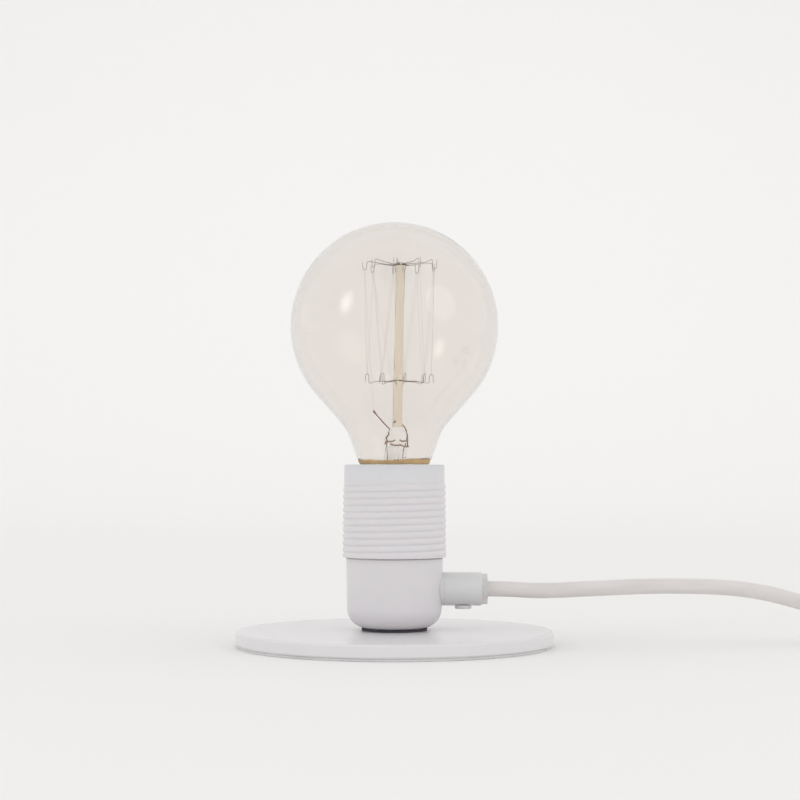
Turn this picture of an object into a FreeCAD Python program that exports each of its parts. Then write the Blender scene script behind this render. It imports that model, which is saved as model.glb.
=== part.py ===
import FreeCAD, Part
import math
import os

# Bare bulb table lamp. Millimetres, +Z up, +X towards the side where the cord leaves.
# The origin is on the lamp's axis, in the plane of the table.

vec = FreeCAD.Vector
UP = vec(0, 0, 1)

# ---------------------------------------------------------------- driving dimensions

# base: a steel plate on a felt pad, held by a nut and washer in a recess from below
PAD_RADIUS = 57.0
PAD_THICK = 1.0
DISC_RADIUS = 60.0
DISC_TOP = 6.0
DISC_EDGE = 0.9
RECESS_RADIUS = 12.5
RECESS_TOP = 4.0
NIPPLE_RADIUS = 5.0
NIPPLE_BORE = 3.8
NIPPLE_LOW = 1.5
NIPPLE_TOP = 12.4
NUT_FLATS = 14.0
NUT_THICK = 1.9
LOCK_WASHER_RADIUS = 9.0
LOCK_WASHER_THICK = 0.6
SEAT_WASHER_RADIUS = 12.4
CUP_BOTTOM = 6.9

# lampholder: a cup, a contact carrier on the cup's spigot, and a threaded sleeve over both
CUP_LOW_RADIUS = 18.05
CUP_TOP_RADIUS = 18.32
CUP_CORNER = 7.6
CUP_TOP = 33.6
CUP_WALL = 2.0
SPIGOT_RADIUS = 16.9
SPIGOT_TOP = 39.4
SLEEVE_LOW = 33.8
SLEEVE_TOP = 68.6
SLEEVE_LOW_RADIUS = 19.7
SLEEVE_THREAD_TOP = 61.0
SLEEVE_THREAD_TOP_RADIUS = 19.4
SLEEVE_BAND_RADIUS = 19.1
SLEEVE_TOP_RADIUS = 18.95
SLEEVE_BORE = 14.2
SLEEVE_SOCKET = 17.1
CARRIER_FLOOR_LOW = 33.0
CARRIER_FLOOR_TOP = 37.0
CARRIER_RADIUS = 14.6
CARRIER_WELL = 12.4
CARRIER_FLANGE_RADIUS = 16.7
CARRIER_TOP = 41.2
SHELL_BORE = 13.45
SHELL_THICK = 0.35
SHELL_TOP = 66.4

# cord inlet on the side of the cup
INLET_Z = 21.6
GLAND_RADIUS = 6.3
GLAND_BORE = 4.0
GLAND_START = 18.5
GLAND_END = 33.0
BUSH_FLANGE = 5.8
BUSH_END = 35.1
CLAMP_X = 26.0

# bulb: an 80 mm globe on a 26 mm screw cap
GLOBE_RADIUS = 39.5
GLOBE_Z = 121.2
FLANK_ANGLE = math.radians(41.5)
NECK_ANGLE = math.radians(19.5)
NECK_RADIUS = 14.6
NECK_Z = 72.2
NECK_BLEND = 17.0
NECK_END_Z = 70.9
NECK_END_RADIUS = 12.6
GLASS_LOW = 62.0
GLASS_WALL = 0.8
CAP_RADIUS = 13.1
CAP_TOP = 68.9
CAP_LOW = 45.2
CAP_THICK = 0.3
CONTACT_LOW = 42.0

# filament mount inside the bulb
ROD_RADIUS = 1.75
ROD_LOW = 83.4
ROD_TOP = 143.0
PINCH_LOW = 75.6
TOP_HOOKS = 9
TOP_HOOK_RADIUS = 13.6
TOP_HOOK_Z = 144.6
BOTTOM_HOOKS = 8
BOTTOM_HOOK_RADIUS = 12.6
BOTTOM_HOOK_Z = 100.6
HOOK_WIRE = 0.2
HOOK_DEPTH = 3.0
HOOK_WIDTH = 1.5
FIRST_HOOK = 182.0
FILAMENT_RADIUS = 0.09
FILAMENT_HOP = 0.35
LEAD_RADIUS = 0.3
LEFT_LEAD_END = vec(-9.7, 0.4, 89.2)
RIGHT_LEAD_END = vec(-0.4, 8.4, 89.2)

# cord, with its hand switch, coil and plug
CORD_RADIUS = 2.9
SWITCH_CENTRE = vec(238, 14, 0)
SWITCH_HALF = 33.0
SWITCH_WIDE = 13.5
SWITCH_TOP = 18.0
SWITCH_WALL = 1.8
SWITCH_CORD_Z = 8.0
PIVOT_Z = 13.6
ROCKER_RADIUS = 7.6
ROCKER_HALF_WIDTH = 5.0
ROCKER_REST = 10.0
COIL_CENTRE = vec(345, -13, 0)
COIL_OUTER = 43.6
COIL_PITCH = 6.3
COIL_TURNS = 6.5
COIL_CLIMB = (3.0, 3.5)
COIL_LOW_Z = 3.45
COIL_HIGH_Z = 9.75
TIE_THICK = 0.5
TIE_WIDTH = 9.0
PLUG_CORD_END = vec(254.2, -31.0, 6.85)
PLUG_TURN = 11.0
PLUG_RELIEF = 24.0
PLUG_BODY = 36.0
PLUG_HALF_WIDTH = 17.6
PIN_RADIUS = 2.0
PIN_CORE_RADIUS = 1.5
PIN_SLEEVE_RADIUS = 1.7
PIN_LENGTH = 19.0
PIN_BARE = 9.0
PIN_SPACING = 18.6

# ---------------------------------------------------------------- shared operations


def rod(radius, start, end):
    """A cylinder from one point to another."""
    along = end - start
    return Part.makeCylinder(radius, along.Length, start, along)


def upright(radius, low, high, x=0.0, y=0.0):
    """A cylinder that stands on height low and reaches height high."""
    return Part.makeCylinder(radius, high - low, vec(x, y, low), UP)


def ring(outer, inner, low, high):
    """A washer or tube about the lamp's axis."""
    return upright(outer, low, high).cut(upright(inner, low - 1, high + 1))


def box(low, high):
    """A block between two corners."""
    size = high - low
    return Part.makeBox(size.x, size.y, size.z, low)


def corner_arc(start, corner, end):
    """The arc that leaves start and reaches end along their lines to the corner."""
    out = (end - corner).normalize()
    back = (start - corner).normalize()
    half_turn = (math.pi - out.getAngle(back)) / 2
    radius = (start - corner).Length / math.tan(half_turn)
    towards = (out + back).normalize()
    middle = corner + towards * (radius / math.cos(half_turn) - radius)
    return Part.Arc(start, middle, end).toShape()


def rounded_edges(corners, closed):
    """Straight runs through (point, bend radius) corners, joined by tangent arcs."""
    count = len(corners)
    arcs = []
    for index, (point, bend) in enumerate(corners):
        if not closed and index in (0, count - 1):
            arcs.append((point, point, None))
            continue
        back = (corners[index - 1][0] - point).normalize()
        out = (corners[(index + 1) % count][0] - point).normalize()
        half_turn = (math.pi - out.getAngle(back)) / 2
        if bend <= 0 or half_turn < 1e-4:
            arcs.append((point, point, None))
            continue
        reach = bend * math.tan(half_turn)
        start = point + back * reach
        end = point + out * reach
        arcs.append((start, end, corner_arc(start, point, end)))
    edges = []
    last = count if closed else count - 1
    for index in range(last):
        arc = arcs[index][2]
        if arc is not None:
            edges.append(arc)
        start = arcs[index][1]
        end = arcs[(index + 1) % count][0]
        if (end - start).Length > 1e-6:
            edges.append(Part.LineSegment(start, end).toShape())
    return edges


def turned(profile):
    """A solid turned about the lamp's axis from (radius, height, bend radius) corners."""
    corners = [(vec(radius, 0, height), bend) for radius, height, bend in profile]
    face = Part.Face(Part.Wire(rounded_edges(corners, True)))
    return face.revolve(vec(0, 0, 0), UP, 360)


def plate(outline, direction):
    """An outline of (point, bend radius) corners, pushed along a direction."""
    return Part.Face(Part.Wire(rounded_edges(outline, True))).extrude(direction)


def tube(edges, radius, transition=0):
    """A round wire or tube along edges that follow one another."""
    path = Part.Wire(edges)
    start = path.Edges[0].valueAt(path.Edges[0].FirstParameter)
    along = path.Edges[0].tangentAt(path.Edges[0].FirstParameter)
    section = Part.Wire(Part.makeCircle(radius, start, along))
    return path.makePipeShell([section], True, False, transition)


def wire(points, radius):
    """A thin wire with sharp mitred bends through the points."""
    edges = [Part.LineSegment(a, b).toShape() for a, b in zip(points, points[1:])]
    return tube(edges, radius, 1)


def around(radius, angle, height):
    """A point at a radius, an angle in degrees and a height."""
    turn = math.radians(angle)
    return vec(radius * math.cos(turn), radius * math.sin(turn), height)


# ---------------------------------------------------------------- base


def base_pieces():
    """Steel plate, felt pad and the fixings that hold the lampholder on the plate."""
    pad = upright(PAD_RADIUS, 0, PAD_THICK)
    disc = turned([
        (NIPPLE_RADIUS + 0.2, DISC_TOP, 0),
        (DISC_RADIUS, DISC_TOP, DISC_EDGE),
        (DISC_RADIUS, PAD_THICK, DISC_EDGE),
        (RECESS_RADIUS, PAD_THICK, 0),
        (RECESS_RADIUS, RECESS_TOP, 0),
        (NIPPLE_RADIUS + 0.2, RECESS_TOP, 0),
    ])
    nipple = ring(NIPPLE_RADIUS, NIPPLE_BORE, NIPPLE_LOW, NIPPLE_TOP)
    nut_top = RECESS_TOP - LOCK_WASHER_THICK
    nut_corner = NUT_FLATS / math.sqrt(3)
    nut_outline = [(around(nut_corner, 60 * side, nut_top - NUT_THICK), 0) for side in range(6)]
    nut = plate(nut_outline, UP * NUT_THICK).cut(upright(NIPPLE_RADIUS, 0, RECESS_TOP))
    washer = ring(LOCK_WASHER_RADIUS, NIPPLE_RADIUS + 0.1, nut_top, RECESS_TOP)
    seat = ring(SEAT_WASHER_RADIUS, NIPPLE_RADIUS + 0.1, DISC_TOP, CUP_BOTTOM)
    return {
        "base_pad": pad,
        "base_disc": disc,
        "mounting_nipple": nipple,
        "nipple_nut": nut,
        "lock_washer": washer,
        "seat_washer": seat,
    }


# ---------------------------------------------------------------- lampholder


def lampholder_cup():
    """Moulded cup: rounded foot, slight draft, spigot inside the sleeve, boss for the nipple."""
    inner_low = CUP_LOW_RADIUS - CUP_WALL
    inner_top = SPIGOT_RADIUS - CUP_WALL
    boss = NIPPLE_RADIUS + 3.0
    floor = CUP_BOTTOM + 2.6
    body = turned([
        (NIPPLE_RADIUS, CUP_BOTTOM, 0),
        (CUP_LOW_RADIUS - 0.25, CUP_BOTTOM, CUP_CORNER),
        (CUP_TOP_RADIUS, CUP_TOP, 0.5),
        (SPIGOT_RADIUS, CUP_TOP, 0),
        (SPIGOT_RADIUS, SPIGOT_TOP, 0.4),
        (inner_top, SPIGOT_TOP, 0.3),
        (inner_top, CUP_TOP - 3.0, 0),
        (inner_low, CUP_TOP - 6.0, 0),
        (inner_low - 0.2, floor, CUP_CORNER - CUP_WALL),
        (boss, floor, 0.6),
        (boss - 0.3, NIPPLE_TOP, 0.4),
        (NIPPLE_RADIUS, NIPPLE_TOP, 0),
    ])
    hole = rod(GLAND_RADIUS - 1.2, vec(8, 0, INLET_Z), vec(30, 0, INLET_Z))
    return body.cut(hole)


def lampholder_sleeve():
    """Sleeve that screws over the cup and clamps the carrier; the thread's crests are its outside."""
    ledge = CARRIER_TOP + 0.75
    return turned([
        (SLEEVE_SOCKET, SLEEVE_LOW, 0.3),
        (SLEEVE_LOW_RADIUS, SLEEVE_LOW, 0.5),
        (SLEEVE_THREAD_TOP_RADIUS, SLEEVE_THREAD_TOP, 0.3),
        (SLEEVE_BAND_RADIUS, SLEEVE_THREAD_TOP + 0.3, 0),
        (SLEEVE_TOP_RADIUS, SLEEVE_TOP, 0.8),
        (SLEEVE_BORE, SLEEVE_TOP, 0.8),
        (SLEEVE_BORE, ledge, 0),
        (SLEEVE_SOCKET, ledge, 0),
    ])


def carrier_pieces():
    """Insulating carrier with the screw shell, the centre contact and the terminals."""
    carrier = turned([
        (0, CARRIER_FLOOR_LOW, 0),
        (CARRIER_RADIUS, CARRIER_FLOOR_LOW, 0.6),
        (CARRIER_RADIUS, SPIGOT_TOP, 0),
        (CARRIER_FLANGE_RADIUS, SPIGOT_TOP, 0),
        (CARRIER_FLANGE_RADIUS, CARRIER_TOP, 0.3),
        (CARRIER_WELL, CARRIER_TOP, 0.4),
        (CARRIER_WELL, CARRIER_FLOOR_TOP, 0),
        (0, CARRIER_FLOOR_TOP, 0),
    ])
    post_radius = 1.2
    live = vec(-8.6, 0, 0)
    neutral = around(13.6, 90, 0)
    for place in (live, neutral):
        carrier = carrier.cut(upright(post_radius, 30, 45, place.x, place.y))
    shell = turned([
        (SHELL_BORE, CARRIER_TOP, 0),
        (CARRIER_FLANGE_RADIUS - 0.2, CARRIER_TOP, 0),
        (CARRIER_FLANGE_RADIUS - 0.2, CARRIER_TOP + SHELL_THICK, 0),
        (SHELL_BORE + SHELL_THICK, CARRIER_TOP + SHELL_THICK, 0),
        (SHELL_BORE + SHELL_THICK, SHELL_TOP, 0),
        (SHELL_BORE, SHELL_TOP, 0),
    ])
    tongue_thick = 0.4
    half_width = 2.5
    foot = CARRIER_FLOOR_TOP
    tip = CONTACT_LOW - 0.25
    tongue = plate([
        (vec(-10.8, -half_width, foot), 0),
        (vec(-5.6, -half_width, foot), 1.0),
        (vec(-0.8, -half_width, tip - tongue_thick), 1.2),
        (vec(2.6, -half_width, tip - tongue_thick), 0.8),
        (vec(4.6, -half_width, tip - 1.9), 0),
        (vec(4.9, -half_width, tip - 1.6), 0),
        (vec(2.8, -half_width, tip), 1.2),
        (vec(-1.0, -half_width, tip), 1.6),
        (vec(-5.8, -half_width, foot + tongue_thick), 0.6),
        (vec(-10.8, -half_width, foot + tongue_thick), 0),
    ], vec(0, 2 * half_width, 0))
    tongue = tongue.cut(upright(post_radius, 30, 45, live.x, live.y))
    block_low = 27.0
    blocks = []
    screws = []
    posts = []
    for place, post_top in ((live, foot + 1.1), (neutral, CARRIER_TOP)):
        centre = place if place is live else around(11.2, 90, 0)
        block = box(centre + vec(-3, -3.2, block_low), centre + vec(3, 3.2, CARRIER_FLOOR_LOW))
        bore = upright(post_radius, block_low, CARRIER_FLOOR_LOW + 1, place.x, place.y)
        screw_z = (block_low + CARRIER_FLOOR_LOW) / 2
        screw_bore = rod(0.9, centre + vec(-3.2, -1.6, screw_z), centre + vec(0, -1.6, screw_z))
        blocks.append(block.cut(bore).cut(screw_bore))
        shank = rod(0.9, centre + vec(-3.0, -1.6, screw_z), centre + vec(-1, -1.6, screw_z))
        head = rod(1.7, centre + vec(-4.2, -1.6, screw_z), centre + vec(-3.0, -1.6, screw_z))
        screws.append(head.fuse(shank).removeSplitter())
        post = upright(post_radius, block_low, post_top, place.x, place.y)
        if place is live:
            post = post.fuse(upright(2.0, foot + tongue_thick, post_top, place.x, place.y))
        posts.append(post)
    return {
        "contact_carrier": carrier,
        "thread_shell": shell,
        "centre_contact": tongue,
        "terminal_blocks": Part.makeCompound(blocks),
        "terminal_screws": Part.makeCompound(screws),
        "contact_posts": Part.makeCompound(posts),
    }


def inlet_pieces():
    """Side inlet of the cup: screwed tube, its nut, the clear bush, the clamp screw, the cores."""
    def at(x, y=0.0, z=INLET_Z):
        return vec(x, y, z)

    clamp_hole = 1.6
    screw_seat = INLET_Z - GLAND_RADIUS
    spigot = GLAND_RADIUS - 1.4
    spigot_end = 11.9
    shank_top = INLET_Z - GLAND_BORE + 0.1
    tube_body = rod(GLAND_RADIUS, at(GLAND_START), at(GLAND_END))
    rims = [edge for edge in tube_body.Edges if edge.Closed]
    tube_body = tube_body.makeFillet(0.45, rims)
    tube_body = tube_body.fuse(rod(spigot, at(spigot_end), at(GLAND_START + 1)))
    tube_body = tube_body.cut(rod(GLAND_BORE, at(0), at(50)))
    tube_body = tube_body.cut(upright(clamp_hole, 10, INLET_Z, CLAMP_X, 0))
    nut_corner = 13.0 / math.sqrt(3)
    nut_outline = []
    for side in range(6):
        spot = around(nut_corner, 60 * side + 30, 0)
        nut_outline.append((vec(12.2, spot.x, INLET_Z + spot.y), 0))
    nut = plate(nut_outline, vec(2.0, 0, 0)).cut(rod(spigot, at(10), at(20)))
    bush_sleeve = GLAND_BORE - 0.05
    bush = rod(bush_sleeve, at(GLAND_START), at(GLAND_END + 1))
    bush = bush.fuse(rod(BUSH_FLANGE, at(GLAND_END), at(BUSH_END)))
    bush = bush.cut(rod(CORD_RADIUS, at(10), at(50))).removeSplitter()
    head = upright(3.15, screw_seat - 1.2, screw_seat + 0.2, CLAMP_X, 0)
    head = head.makeFillet(0.4, [head.Edges[2]])
    head = head.cut(rod(GLAND_RADIUS, at(20), at(32)))
    slot = box(vec(CLAMP_X - 4, -0.4, screw_seat - 2), vec(CLAMP_X + 4, 0.4, screw_seat - 0.6))
    shank = upright(clamp_hole - 0.1, screw_seat - 0.4, shank_top - 0.15, CLAMP_X, 0)
    screw = head.cut(slot).fuse(shank).removeSplitter()
    inner = rod(CORD_RADIUS, at(10), at(BUSH_END))
    cores = {}
    block_x, block_y = -8.6, 0.0
    routes = {
        "core_live": [(at(10, -1.4), 0), (at(0, -1.4), 3), (vec(block_x, block_y, 22.6), 2.2),
                      (vec(block_x, block_y, 27.0), 0)],
        "core_neutral": [(at(10, 1.4), 0), (at(3, 1.4), 3), (vec(0, 10.2, 22.6), 2.2),
                         (vec(0, 10.2, 27.0), 0)],
    }
    for name, corners in routes.items():
        cores[name] = tube(rounded_edges(corners, False), 1.1)
    return {
        "gland_tube": tube_body,
        "gland_nut": nut,
        "gland_bush": bush,
        "gland_clamp_screw": screw,
        "cord_in_gland": inner,
        **cores,
    }


# ---------------------------------------------------------------- bulb


def glass_corners(inset):
    """Where the globe leaves its arc, and the blend corner at the neck, inset by a wall."""
    radius = GLOBE_RADIUS - inset
    leave = vec(radius * math.cos(FLANK_ANGLE), 0, GLOBE_Z - radius * math.sin(FLANK_ANGLE))
    flank = math.tan(FLANK_ANGLE)
    neck = math.tan(NECK_ANGLE)
    neck_radius = NECK_RADIUS - inset / math.cos(NECK_ANGLE)
    height = (leave.x - leave.z * flank - neck_radius + NECK_Z * neck) / (neck - flank)
    blend = vec(neck_radius + (height - NECK_Z) * neck, 0, height)
    low = vec(neck_radius + (NECK_END_Z - NECK_Z) * neck, 0, NECK_END_Z)
    return leave, blend, low


def glass_edges(inset):
    """The glass outline from its top, down the globe, the flank and the neck, to its low end."""
    leave, blend, low = glass_corners(inset)
    radius = GLOBE_RADIUS - inset
    top = vec(0, 0, GLOBE_Z + radius)
    side_angle = (math.pi / 2 - FLANK_ANGLE) / 2
    side = vec(radius * math.cos(side_angle), 0, GLOBE_Z + radius * math.sin(side_angle))
    globe = Part.Arc(top, side, leave).toShape()
    end = vec(NECK_END_RADIUS - inset, 0, GLASS_LOW)
    shoulder = vec(NECK_END_RADIUS - inset, 0, NECK_END_Z - 1.6)
    corners = [(leave, 0), (blend, NECK_BLEND), (low, 1.1), (shoulder, 0.6), (end, 0)]
    return [globe] + rounded_edges(corners, False)


def bulb_glass():
    """Blown globe with its neck, a hollow shell of even wall."""
    edges = glass_edges(0) + glass_edges(GLASS_WALL)
    inward = vec(-GLASS_WALL, 0, 0)
    crown = vec(0, 0, GLOBE_Z + GLOBE_RADIUS)
    neck = vec(NECK_END_RADIUS, 0, GLASS_LOW)
    edges.append(Part.LineSegment(crown, crown - UP * GLASS_WALL).toShape())
    edges.append(Part.LineSegment(neck, neck + inward).toShape())
    section = Part.Wire(Part.__sortEdges__(edges))
    return Part.Face(section).revolve(vec(0, 0, 0), UP, 360)


def cap_pieces():
    """Screw cap: metal shell, black insulator, centre contact, and the cement under the glass."""
    cone_top = 48.0
    insulator_radius = 9.4
    shell = turned([
        (CAP_RADIUS, CAP_TOP, 0),
        (CAP_RADIUS, cone_top, 0.8),
        (insulator_radius, CAP_LOW, 0),
        (insulator_radius - CAP_THICK, CAP_LOW, 0),
        (CAP_RADIUS - CAP_THICK, cone_top, 0.6),
        (CAP_RADIUS - CAP_THICK, CAP_TOP, 0),
    ])
    insulator = turned([
        (0, CONTACT_LOW + 0.7, 0),
        (5.2, CONTACT_LOW + 0.7, 0.6),
        (insulator_radius - CAP_THICK, CAP_LOW - 0.1, 0.4),
        (insulator_radius - CAP_THICK, CAP_LOW + 0.6, 0),
        (4.0, CAP_LOW + 1.8, 0),
        (0, CAP_LOW + 1.8, 0),
    ])
    contact = turned([
        (0, CONTACT_LOW, 0),
        (3.6, CONTACT_LOW, 0.5),
        (4.8, CONTACT_LOW + 0.7, 0),
        (0, CONTACT_LOW + 0.7, 0),
    ])
    cement_outer = CAP_RADIUS - CAP_THICK
    cement = turned([
        (NECK_END_RADIUS, 66.0, 0),
        (cement_outer, 66.0, 0),
        (cement_outer, CAP_TOP, 0),
        (CAP_RADIUS + 0.2, CAP_TOP, 0),
        (CAP_RADIUS + 0.6, NECK_END_Z - 0.6, 0),
        (NECK_END_RADIUS + 0.4, NECK_END_Z - 1.4, 0),
        (NECK_END_RADIUS, CAP_TOP, 0),
    ])
    return {
        "cap_shell": shell,
        "cap_insulator": insulator,
        "cap_contact": contact,
        "cap_cement": cement,
    }


def stem_pieces():
    """Glass stem: flare in the neck, flat pinch, exhaust tube below and a solid rod above."""
    flare_radius = NECK_END_RADIUS - GLASS_WALL
    flare = turned([
        (flare_radius, GLASS_LOW, 0),
        (flare_radius, GLASS_LOW + 1.2, 0.6),
        (4.4, PINCH_LOW - 6.0, 5.0),
        (4.0, PINCH_LOW, 0),
        (3.2, PINCH_LOW, 0),
        (3.6, PINCH_LOW - 6.0, 4.2),
        (flare_radius - 0.9, GLASS_LOW, 0),
    ])
    pinch_half = 4.5
    outline = [
        (vec(-pinch_half, -1.8, PINCH_LOW), 1.2),
        (vec(pinch_half, -1.8, PINCH_LOW), 1.2),
        (vec(pinch_half, -1.8, 79.6), 1.6),
        (vec(ROD_RADIUS + 0.3, -1.8, ROD_LOW), 0.6),
        (vec(-ROD_RADIUS - 0.3, -1.8, ROD_LOW), 0.6),
        (vec(-pinch_half, -1.8, 79.6), 1.6),
    ]
    pinch = plate(outline, vec(0, 3.6, 0))
    exhaust = ring(2.2, 1.4, 50.0, PINCH_LOW)
    glass_rod = turned([
        (0, ROD_LOW, 0),
        (ROD_RADIUS, ROD_LOW, 0),
        (ROD_RADIUS, ROD_TOP - 1.2, 0.8),
        (ROD_RADIUS + 1.0, ROD_TOP + 0.2, 1.2),
        (ROD_RADIUS + 0.5, ROD_TOP + 2.4, 1.4),
        (0, ROD_TOP + 2.8, 0),
    ])
    return {
        "stem_flare": flare,
        "stem_pinch": pinch,
        "exhaust_tube": exhaust,
        "stem_rod": glass_rod,
    }


def hook_points(angle, reach, height, down, rise):
    """One support wire: out from the rod, then a narrow loop that the filament hangs in."""
    sign = -1 if down else 1
    side = around(HOOK_WIDTH / 2, angle + 90, 0)
    start = around(ROD_RADIUS - 0.6, angle, height)
    knee = around(reach, angle, height + rise) - side
    tip = around(reach, angle, height + rise + sign * HOOK_DEPTH)
    near = tip - side * 0.9
    far = tip + side * 0.9
    lift = vec(0, 0, -sign * 0.6)
    return [start, knee, near + lift, tip, far + lift, far - vec(0, 0, sign * HOOK_DEPTH)]


def mount_pieces():
    """Two spiders of support wires, the zigzag filament between them and the lead wires."""
    top = []
    bottom = []
    run = [LEFT_LEAD_END]
    step = 360 / TOP_HOOKS
    rise = vec(0, 0, HOOK_WIRE + FILAMENT_RADIUS + 0.02)
    for index in range(TOP_HOOKS):
        angle = FIRST_HOOK + step * index
        across = around(FILAMENT_HOP, angle, 0)
        points = hook_points(angle, TOP_HOOK_RADIUS, TOP_HOOK_Z, True, 1.4)
        top.append(wire(points, HOOK_WIRE))
        run += [points[3] + across + rise, points[3] - across + rise]
        if index == BOTTOM_HOOKS:
            break
        angle += step / 2
        across = around(FILAMENT_HOP, angle, 0)
        points = hook_points(angle, BOTTOM_HOOK_RADIUS, BOTTOM_HOOK_Z, False, -1.0)
        bottom.append(wire(points, HOOK_WIRE))
        run += [points[3] - across - rise, points[3] + across - rise]
    run.append(RIGHT_LEAD_END)
    filament = wire(run, FILAMENT_RADIUS)
    left = [vec(-4.3, 0, 62.6), vec(-4.2, 0, 76.4), vec(-3.4, 0, 80.4), vec(-3.0, 0, 82.2)]
    right = [vec(4.3, 0, 66.0), vec(4.2, 0, 76.4), vec(3.5, 0, 82.0), vec(1.6, 3.0, 85.2)]
    leads = []
    ends = []
    for low_part, end in ((left, LEFT_LEAD_END), (right, RIGHT_LEAD_END)):
        bead = upright(1.6 * LEAD_RADIUS, end.z - 1.0, end.z + 1.0, end.x, end.y)
        leads.append(wire([*low_part, end], LEAD_RADIUS).fuse(bead).removeSplitter())
        ends.append(bead)
    filament = filament.cut(Part.makeCompound(ends))
    return {
        "top_hooks": Part.makeCompound(top),
        "bottom_hooks": Part.makeCompound(bottom),
        "filament": filament,
        "lead_wires": Part.makeCompound(leads),
    }


# ---------------------------------------------------------------- cord, coil and tie


def cord_edges(points):
    """Runs through the route's points, joined by arcs as large as the runs allow."""
    corners = [(points[0], 0)]
    radii = []
    for before, here, after in zip(points, points[1:], points[2:]):
        back = before - here
        out = after - here
        shorter = min(back.Length, out.Length)
        half_turn = (math.pi - back.getAngle(out)) / 2
        radius = 0.45 * shorter / math.tan(half_turn)
        radii.append(round(radius, 1))
        corners.append((here, radius))
    corners.append((points[-1], 0))
    return rounded_edges(corners, False), radii


def coil_point(turn):
    """Centre of the cord after so many turns: in along the table, up a layer, and out again."""
    climb_start, climb_end = COIL_CLIMB
    radius = COIL_OUTER - COIL_PITCH * min(turn, COIL_TURNS - turn)
    done = min(max((turn - climb_start) / (climb_end - climb_start), 0.0), 1.0)
    height = COIL_LOW_Z + (COIL_HIGH_Z - COIL_LOW_Z) * done * done * (3 - 2 * done)
    return COIL_CENTRE + around(radius, 90 - 360 * turn, height)


def coil_direction(turn):
    """Unit direction of the cord at that place in the coil."""
    step = 1e-4
    low = max(turn - step, 0)
    high = min(turn + step, COIL_TURNS)
    return (coil_point(high) - coil_point(low)).normalize()


def two_arcs(start, start_way, end, end_way):
    """Two arcs that leave start and reach end in the given directions."""
    chord = end - start
    ways = start_way + end_way
    open_way = 2 * (1 - start_way.dot(end_way))
    along = chord.dot(ways)
    reach = (-along + math.sqrt(along * along + open_way * chord.dot(chord))) / open_way
    first = start + start_way * reach
    second = end - end_way * reach
    middle = (first + second) * 0.5
    return [corner_arc(start, first, middle), corner_arc(middle, second, end)]


def coil_ends():
    """Where the coil's straight ends begin and finish, with the cord's direction there."""
    lead = 2 * CORD_RADIUS
    start_way = coil_direction(0)
    end_way = coil_direction(COIL_TURNS)
    start = coil_point(0) - start_way * lead
    end = coil_point(COIL_TURNS) + end_way * lead
    return start, start_way, end, end_way


def least_gap():
    """Smallest clear gap between turns that lie beside or above one another."""
    per_turn = 48
    count = int(COIL_TURNS * per_turn)
    points = [coil_point(index / per_turn) for index in range(count + 1)]
    least = 1e9
    for index, point in enumerate(points):
        for other in points[index + per_turn // 2:]:
            least = min(least, (point - other).Length)
    return least - 2 * CORD_RADIUS


def tube_check(name, solid, edges, radius):
    """Prints a tube's length, and its volume beside its section times that length."""
    length = sum(edge.Length for edge in edges)
    expected = math.pi * radius * radius * length
    print(name, "length", round(length, 1), "volume", round(solid.Volume), "expected", round(expected))


def cord_pieces():
    """Free stretches of the cord, the put-away coil and the tie round it."""
    start, start_way, end, end_way = coil_ends()
    switch_in = SWITCH_CENTRE + vec(-SWITCH_HALF, 0, SWITCH_CORD_Z)
    switch_out = SWITCH_CENTRE + vec(SWITCH_HALF, 0, SWITCH_CORD_Z)
    routes = {
        "cord_lead": [
            vec(BUSH_END, 0, INLET_Z),
            vec(42.5, 0, INLET_Z),
            vec(55, 0, 20.7),
            vec(75, 0, 21.7),
            vec(103, 0, 22.9),
            vec(134, 1.0, 21.8),
            vec(156, 4.6, 16.0),
            vec(176, 10.4, 10.2),
            vec(192, 14, 8.0),
            switch_in,
        ],
        "cord_to_coil": [
            switch_out,
            vec(281, 14, 8.0),
            vec(296, 18.2, 5.6),
            vec(311, 25.4, 3.6),
            start - start_way * 13,
            start,
        ],
        "cord_to_plug": [
            end,
            end + end_way * 11,
            vec(315, -53.5, 8.5),
            vec(303.8, -44.5, 6.6),
            vec(293, -34.4, 5.6),
            vec(280, -29.4, 6.1),
            vec(267, -28.5, 6.8),
            PLUG_CORD_END,
        ],
    }
    pieces = {}
    for name, points in routes.items():
        edges, radii = cord_edges(points)
        pieces[name] = tube(edges, CORD_RADIUS)
        print(name, "bend radii", radii)
        tube_check(name, pieces[name], edges, CORD_RADIUS)
    coil_edges = [Part.LineSegment(start, coil_point(0)).toShape()]
    quarters = int(COIL_TURNS * 4)
    for quarter in range(quarters):
        near = quarter / 4
        far = (quarter + 1) / 4
        coil_edges += two_arcs(coil_point(near), coil_direction(near), coil_point(far), coil_direction(far))
    coil_edges.append(Part.LineSegment(coil_point(COIL_TURNS), end).toShape())
    pieces["cord_coil"] = tube(coil_edges, CORD_RADIUS)
    tube_check("cord_coil", pieces["cord_coil"], coil_edges, CORD_RADIUS)
    print("least gap between turns", round(least_gap(), 2))
    inside = CORD_RADIUS + 0.15
    inner_edge = COIL_OUTER - COIL_PITCH * COIL_TURNS / 2 - inside - 0.4
    outer_edge = COIL_OUTER - COIL_PITCH * 0.25 + inside
    hug = 2.4
    loops = []
    for grow in (TIE_THICK, 0.0):
        low_z = COIL_LOW_Z - CORD_RADIUS - 0.05 - grow
        high_z = COIL_HIGH_Z + inside + grow
        front = COIL_CENTRE.y - TIE_WIDTH / 2
        corners = []
        for x, z in ((inner_edge - grow, low_z), (outer_edge + grow, low_z),
                     (outer_edge + grow, high_z), (inner_edge - grow, high_z)):
            corners.append((vec(COIL_CENTRE.x + x, front, z), hug + grow))
        loops.append(plate(corners, vec(0, TIE_WIDTH, 0)))
    pieces["coil_tie"] = loops[0].cut(loops[1])
    return pieces


# ---------------------------------------------------------------- hand switch


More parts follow.
